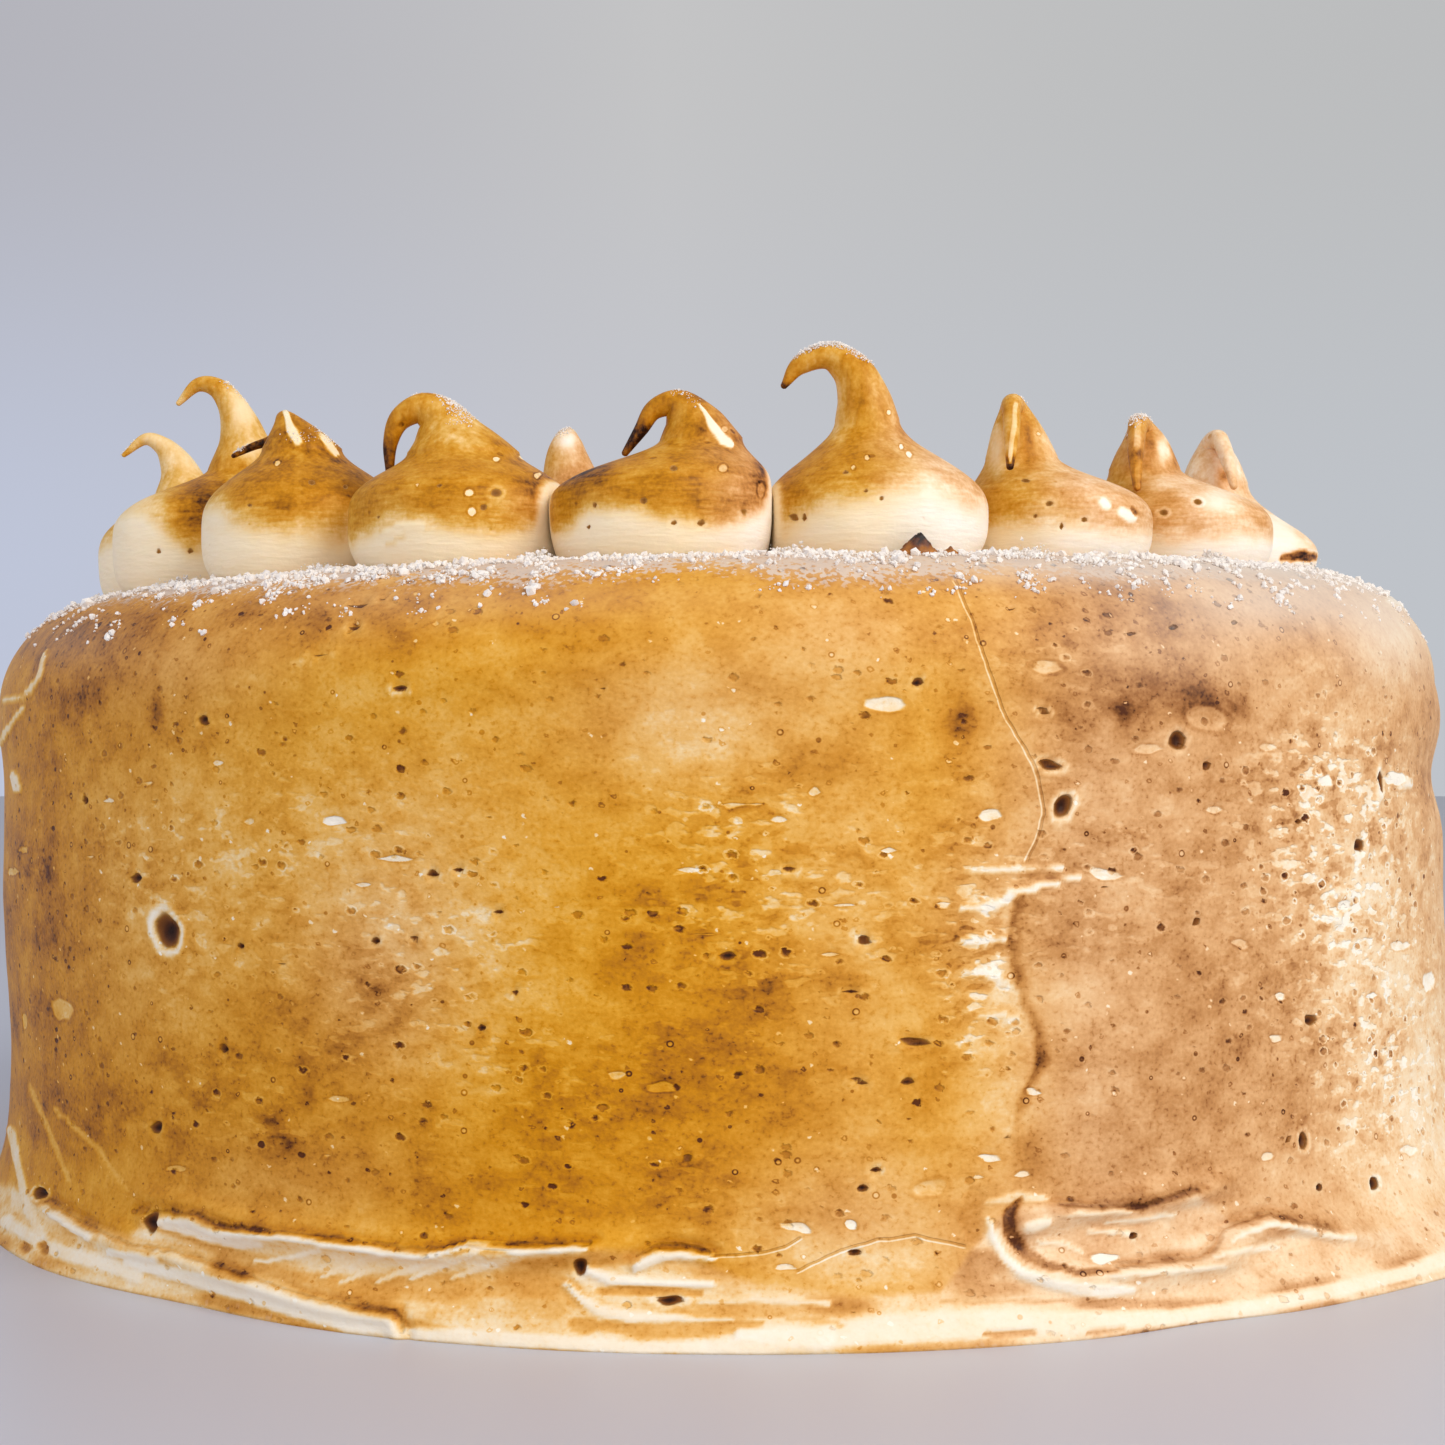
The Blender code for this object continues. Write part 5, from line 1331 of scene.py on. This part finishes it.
piping = random.Random(PIPING_SEED)
flame = random.Random(TORCHING_SEED)
for number in range(1, KISS_COUNT + 1):
    around = FRONT_KISS_ANGLE + KISS_STEP * (number - FRONT_KISS)
    turn = math.radians(around)
    spot = (RING_RADIUS * math.sin(turn) + RING_OFFSET, -RING_RADIUS * math.cos(turn))
    piped = (piping.uniform(*KISS_BULGE), piping.uniform(*KISS_BULGE_HEIGHT), piping.uniform(*KISS_FULLNESS),
             turned_over_tip(piping))
    torched = (flame.uniform(*BROWN_BEGINS), flame.uniform(*BROWN_LEANS), flame.uniform(*BROWN_DEPTH),
               flame.uniform(*END_DARKNESS))
    pipe_kiss(number, spot, FRONT_KISSES.get(number, piped), around, KISS_TORCHING.get(number, torched))
pipe_kiss(INNER_KISS_NUMBER, INNER_KISS_PLACE, INNER_KISS, None, KISS_TORCHING[INNER_KISS_NUMBER])

# ---------------------------------------------------------------------------------------------
# Two scraps of burnt meringue that fell on the shoulder and stuck there. They are brittle sugar,
# broken off the burnt tips of the kisses.

# Turn, distance from the axis, half width, height
SCRAPS = ((14.1, 0.1078, 0.0026, 0.0030), (16.5, 0.1076, 0.0012, 0.0012))
SCRAP_SUNK = 0.0002

# Meringue burnt to sugar coal: golden where it broke off, near black at its peaks
burnt_scrap, tree, shader = new_material("burnt_meringue_scrap")
place = add("TexCoord", out="Object")
mottling = speckle(1.2, 1.0, 4.0, 0.2)
above_top = add("Math", (add("SeparateXYZ", (place,), out="Z"), TOP_HEIGHT), MINUS)
charred = laid_on(0.0, ((above_top, 260.0), (mottling, 0.8)))
skin = add("ValToRGB", (charred,), stops=(
    (0.15, "f0c48a"), (0.45, "b9741f"), (0.85, "6a3410"), (1.0, "1d0c07")))
tree.links.new(skin, shader.inputs["Base Color"])
bumps = add("Bump", {"Strength": 0.6, "Distance": 0.0004, "Height": mottling})
tree.links.new(bumps, shader.inputs["Normal"])
shader.inputs["Roughness"].default_value = 0.55

bm = bmesh.new()
for turned, distance, half_width, tall in SCRAPS:
    crumb = bmesh.ops.create_icosphere(bm, subdivisions=4, radius=1.0)["verts"]
    side = math.radians(turned)
    foot = Vector((distance * math.sin(side), -distance * math.cos(side), 0.0))
    foot.z = TOP_HEIGHT + TOP_TILT * foot.x - SCRAP_SUNK
    for vertex in crumb:
        jag = 1.0 + 0.35 * noise.noise(vertex.co * 1.7 + Vector((turned, 0.0, 0.0)))
        jag += 0.12 * noise.noise(vertex.co * 5.0)
        peak = max(0.0, 1.0 - abs(vertex.co.x + 0.1) * 1.1)
        vertex.co = Vector((vertex.co.x * half_width * jag, vertex.co.y * half_width * 0.55 * jag,
                            vertex.co.z * tall * (0.35 + 0.65 * peak) * jag))
        vertex.co.rotate(Matrix.Rotation(side, 3, "Z"))
        vertex.co += foot
mesh = bpy.data.meshes.new("burnt_scraps")
bm.to_mesh(mesh)
bm.free()
mesh.shade_smooth()
scraps = show("burnt_scraps", mesh, burnt_scrap)
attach(scraps, "root")

# ---------------------------------------------------------------------------------------------
# The icing sugar: sifted over the top, so that it lies on the rim in front of the kisses, on the
# ridges of their tips and in the joints between them, as fine white grains and as small clumps.

SUGAR_SEED = 23
RIM_START = 0.1030
RIM_WIDTH = 0.0165
JOINT_REACH = 0.1035
JOINT_SPREAD = 0.0014
JOINT_TURN_SPREAD = 0.014  # radians
JOINT_PILE = 0.0006

# How densely the sugar lies: everywhere, and how much more round two places of the rim, as turn and
# half width in radians
THIN_SUGAR = 0.30
DENSE_SUGAR = ((0.72, 0.42, 0.60), (-0.35, 0.6, 0.45))
RIM_GRAINS = 15500
JOINT_GRAINS = 3600
KISS_GRAINS = 5200
RIM_CLUMPS = 9000
JOINT_CLUMPS = 500
GRAIN_SIZE = 0.00010
LEAST_GRAIN = 0.00003
CLUMP_SIZE = 0.00020
LEAST_CLUMP = 0.00006

# Powdered sugar is white and matt
icing_sugar, tree, shader = new_material("icing_sugar_powder")
place = add("TexCoord", out="Object")
shade = add("ValToRGB", (speckle(1.5, 1.0, 2.0, 0.2),), stops=((0.3, "e2dad2"), (0.7, "f6f1ec")))
tree.links.new(shade, shader.inputs["Base Color"])
shader.inputs["Roughness"].default_value = 0.9

rng = np.random.default_rng(SUGAR_SEED)


def on_rim(turn, reach):
    """Points on the top and the shoulder of the coat, at this turn and distance from the middle."""
    rim_inner = np.interp(np.degrees(turn), turns, inner, period=360.0)
    over = np.clip((reach - rim_inner) / SHOULDER_RADIUS, 0.0, 0.985)
    level = TOP_HEIGHT + TOP_TILT * reach * np.sin(turn) - SHOULDER_RADIUS * (1.0 - np.sqrt(1.0 - over ** 2))
    return np.stack((reach * np.sin(turn), -reach * np.cos(turn), level), axis=1)


def sifted(count, patchiness):
    """Places on the rim, dense at the kisses and on the front right, thin and patchy outwards."""
    found = []
    while sum(len(batch) for batch in found) < count:
        turn = rng.uniform(-math.pi, math.pi, 4 * count)
        out = rng.random(4 * count)
        spots_here = on_rim(turn, RIM_START + RIM_WIDTH * out)
        drift = grain(spots_here, 0.0045, 1.0, 91.0) + 0.7 * grain(spots_here, 0.0016, 1.0, 95.0)
        thick = THIN_SUGAR
        for middle, half_width, more in DENSE_SUGAR:
            thick = thick + more * bell(turn - middle, half_width)
        keep = thick * ease(1.0, 0.2, out + patchiness * (0.1 - drift)) ** 2.0
        found.append(spots_here[rng.random(4 * count) < keep])
    return np.concatenate(found)[:count]


def in_joints(count):
    """Places piled in the joints between the feet of the kisses."""
    turn = np.radians(FRONT_KISS_ANGLE + KISS_STEP * (rng.integers(0, KISS_COUNT, count) + 0.5))
    piled = on_rim(turn + rng.normal(0.0, JOINT_TURN_SPREAD, count),
                   JOINT_REACH + rng.normal(0.0, JOINT_SPREAD, count))
    piled[:, 2] += np.abs(rng.normal(0.0, JOINT_PILE, count))
    return piled


def scattered(name, middles, sizes, corners, sides):
    """Many small jagged lumps joined in one mesh."""
    count = len(middles)
    spin = np.linalg.qr(rng.normal(size=(count, 3, 3)))[0]
    jags = rng.uniform(0.6, 1.4, (count, len(corners), 1)) * sizes[:, None, None]
    lumps = np.einsum("nij,kj->nki", spin, corners) * jags
    points = (middles[:, None, :] + lumps).reshape(-1, 3)
    faces = (sides[None, :, :] + len(corners) * np.arange(count)[:, None, None]).reshape(-1, 3)
    mesh = bpy.data.meshes.new(name)
    mesh.from_pydata(points.tolist(), [], faces.tolist())
    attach(show(name, mesh, icing_sugar), "root")


# Fine grains with six corners: on the rim, in the joints, and on the upper side of the kisses
all_spots, all_ways = np.concatenate(sugar_spots), np.concatenate(sugar_ways)
likely = all_ways[:, 2] ** 5 * ease(-0.1, 0.5, grain(all_spots, 0.006, 1.0, 33.0))
likely *= np.where(all_spots[:, 1] < 0.0, 1.0, 0.4)
picked = rng.choice(len(all_spots), KISS_GRAINS, p=likely / likely.sum())
scatter = rng.normal(0.0, 0.0004, (KISS_GRAINS, 3))
scatter -= all_ways[picked] * (scatter * all_ways[picked]).sum(axis=1, keepdims=True)
middles = np.concatenate((sifted(RIM_GRAINS, 0.8), in_joints(JOINT_GRAINS), all_spots[picked] + scatter))
sizes = rng.gamma(3.0, GRAIN_SIZE / 3.0, len(middles)) + LEAST_GRAIN
sizes[-KISS_GRAINS:] *= 0.7
middles[:, 2] += 0.3 * sizes
scattered("icing_sugar", middles, sizes,
          np.array(((1, 0, 0), (-1, 0, 0), (0, 1, 0), (0, -1, 0), (0, 0, 1), (0, 0, -1)), dtype=float),
          np.array(((0, 2, 4), (2, 1, 4), (1, 3, 4), (3, 0, 4), (2, 0, 5), (1, 2, 5), (3, 1, 5), (0, 3, 5))))

# Clumps with twelve corners, where the grains stuck together
clump = bmesh.new()
bmesh.ops.create_icosphere(clump, subdivisions=1, radius=1.0)
clump.verts.ensure_lookup_table()
clump_corners = np.array([vertex.co[:] for vertex in clump.verts])
clump_sides = np.array([[vertex.index for vertex in face.verts] for face in clump.faces])
clump.free()
middles = np.concatenate((sifted(RIM_CLUMPS, 1.1), in_joints(JOINT_CLUMPS)))
sizes = rng.gamma(3.0, CLUMP_SIZE / 3.0, len(middles)) + LEAST_CLUMP
middles[:, 2] += 0.4 * sizes
scattered("icing_sugar_clumps", middles, sizes, clump_corners, clump_sides)

# ---------------------------------------------------------------------------------------------
# The room: a pale satin table top under a pale wall, a large soft lamp on the right and a weak
# bluish one on the left.

FLOOR_SIZE = 6.0

# Painted wood with a satin finish, pale and a little blue
pale_floor, tree, shader = new_material("pale_table_top")
shader.inputs["Base Color"].default_value = from_hex("c3c6d2")
shader.inputs["Roughness"].default_value = 0.42
mesh = bpy.data.meshes.new("floor")
half = FLOOR_SIZE / 2
corners = [(-half, -half, 0.0), (half, -half, 0.0), (half, half, 0.0), (-half, half, 0.0)]
mesh.from_pydata(corners, [], [(0, 1, 2, 3)])
floor = show("floor", mesh, pale_floor)
floor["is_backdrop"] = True

# Pale painted walls, cooler low on the left
world = bpy.data.worlds.new("pale_room")
world.use_nodes = True
bpy.context.scene.world = world
tree = world.node_tree
axes = add("SeparateXYZ", (add("TexCoord", out="Generated"),)).node.outputs
rightwards = add("MapRange", (axes["X"], -0.35, 0.30), SMOOTHLY)
downwards = add("MapRange", (axes["Z"], 0.28, 0.06), SMOOTHLY)
high_tone = add("ValToRGB", (rightwards,), stops=((0.0, "b3b3bb"), (0.5, "c4c4c5"), (1.0, "bcbdbe")))
low_tone = add("ValToRGB", (rightwards,), stops=((0.0, "bec5d9"), (0.4, "c4c6cf"), (1.0, "bfc3c9")))
tone = add("Mix", {SHARE: downwards, UNDER: high_tone, OVER: low_tone}, COLOURS, MIXED)
background = tree.nodes["Background"]
tree.links.new(tone, background.inputs["Color"])
background.inputs["Strength"].default_value = 1.0

LAMPS_AIM = (0.0, 0.0, 0.06)


def soft_lamp(name, place, size, watts, code):
    """A square lamp of this size that faces the cake."""
    data = bpy.data.lights.new(name, "AREA")
    data.size = size
    data.energy = watts
    data.color = from_hex(code)[:3]
    lamp = bpy.data.objects.new(name, data)
    lamp.location = place
    lamp.rotation_euler = (Vector(LAMPS_AIM) - Vector(place)).to_track_quat("-Z", "Y").to_euler()
    bpy.context.scene.collection.objects.link(lamp)


soft_lamp("lamp_right", (0.75, -0.75, 0.75), 0.7, 9.8, "fffaf2")
soft_lamp("lamp_front", (-0.15, -1.15, 0.05), 0.5, 2.7, "fff6ea")
soft_lamp("lamp_left", (-0.9, -0.4, 0.5), 0.8, 2.5, "e4ecff")
bpy.context.scene.view_settings.view_transform = "Standard"

sizes = {"cad": [list(corner_) for corner_ in cad_box], "visual": [list(corner_) for corner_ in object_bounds()]}
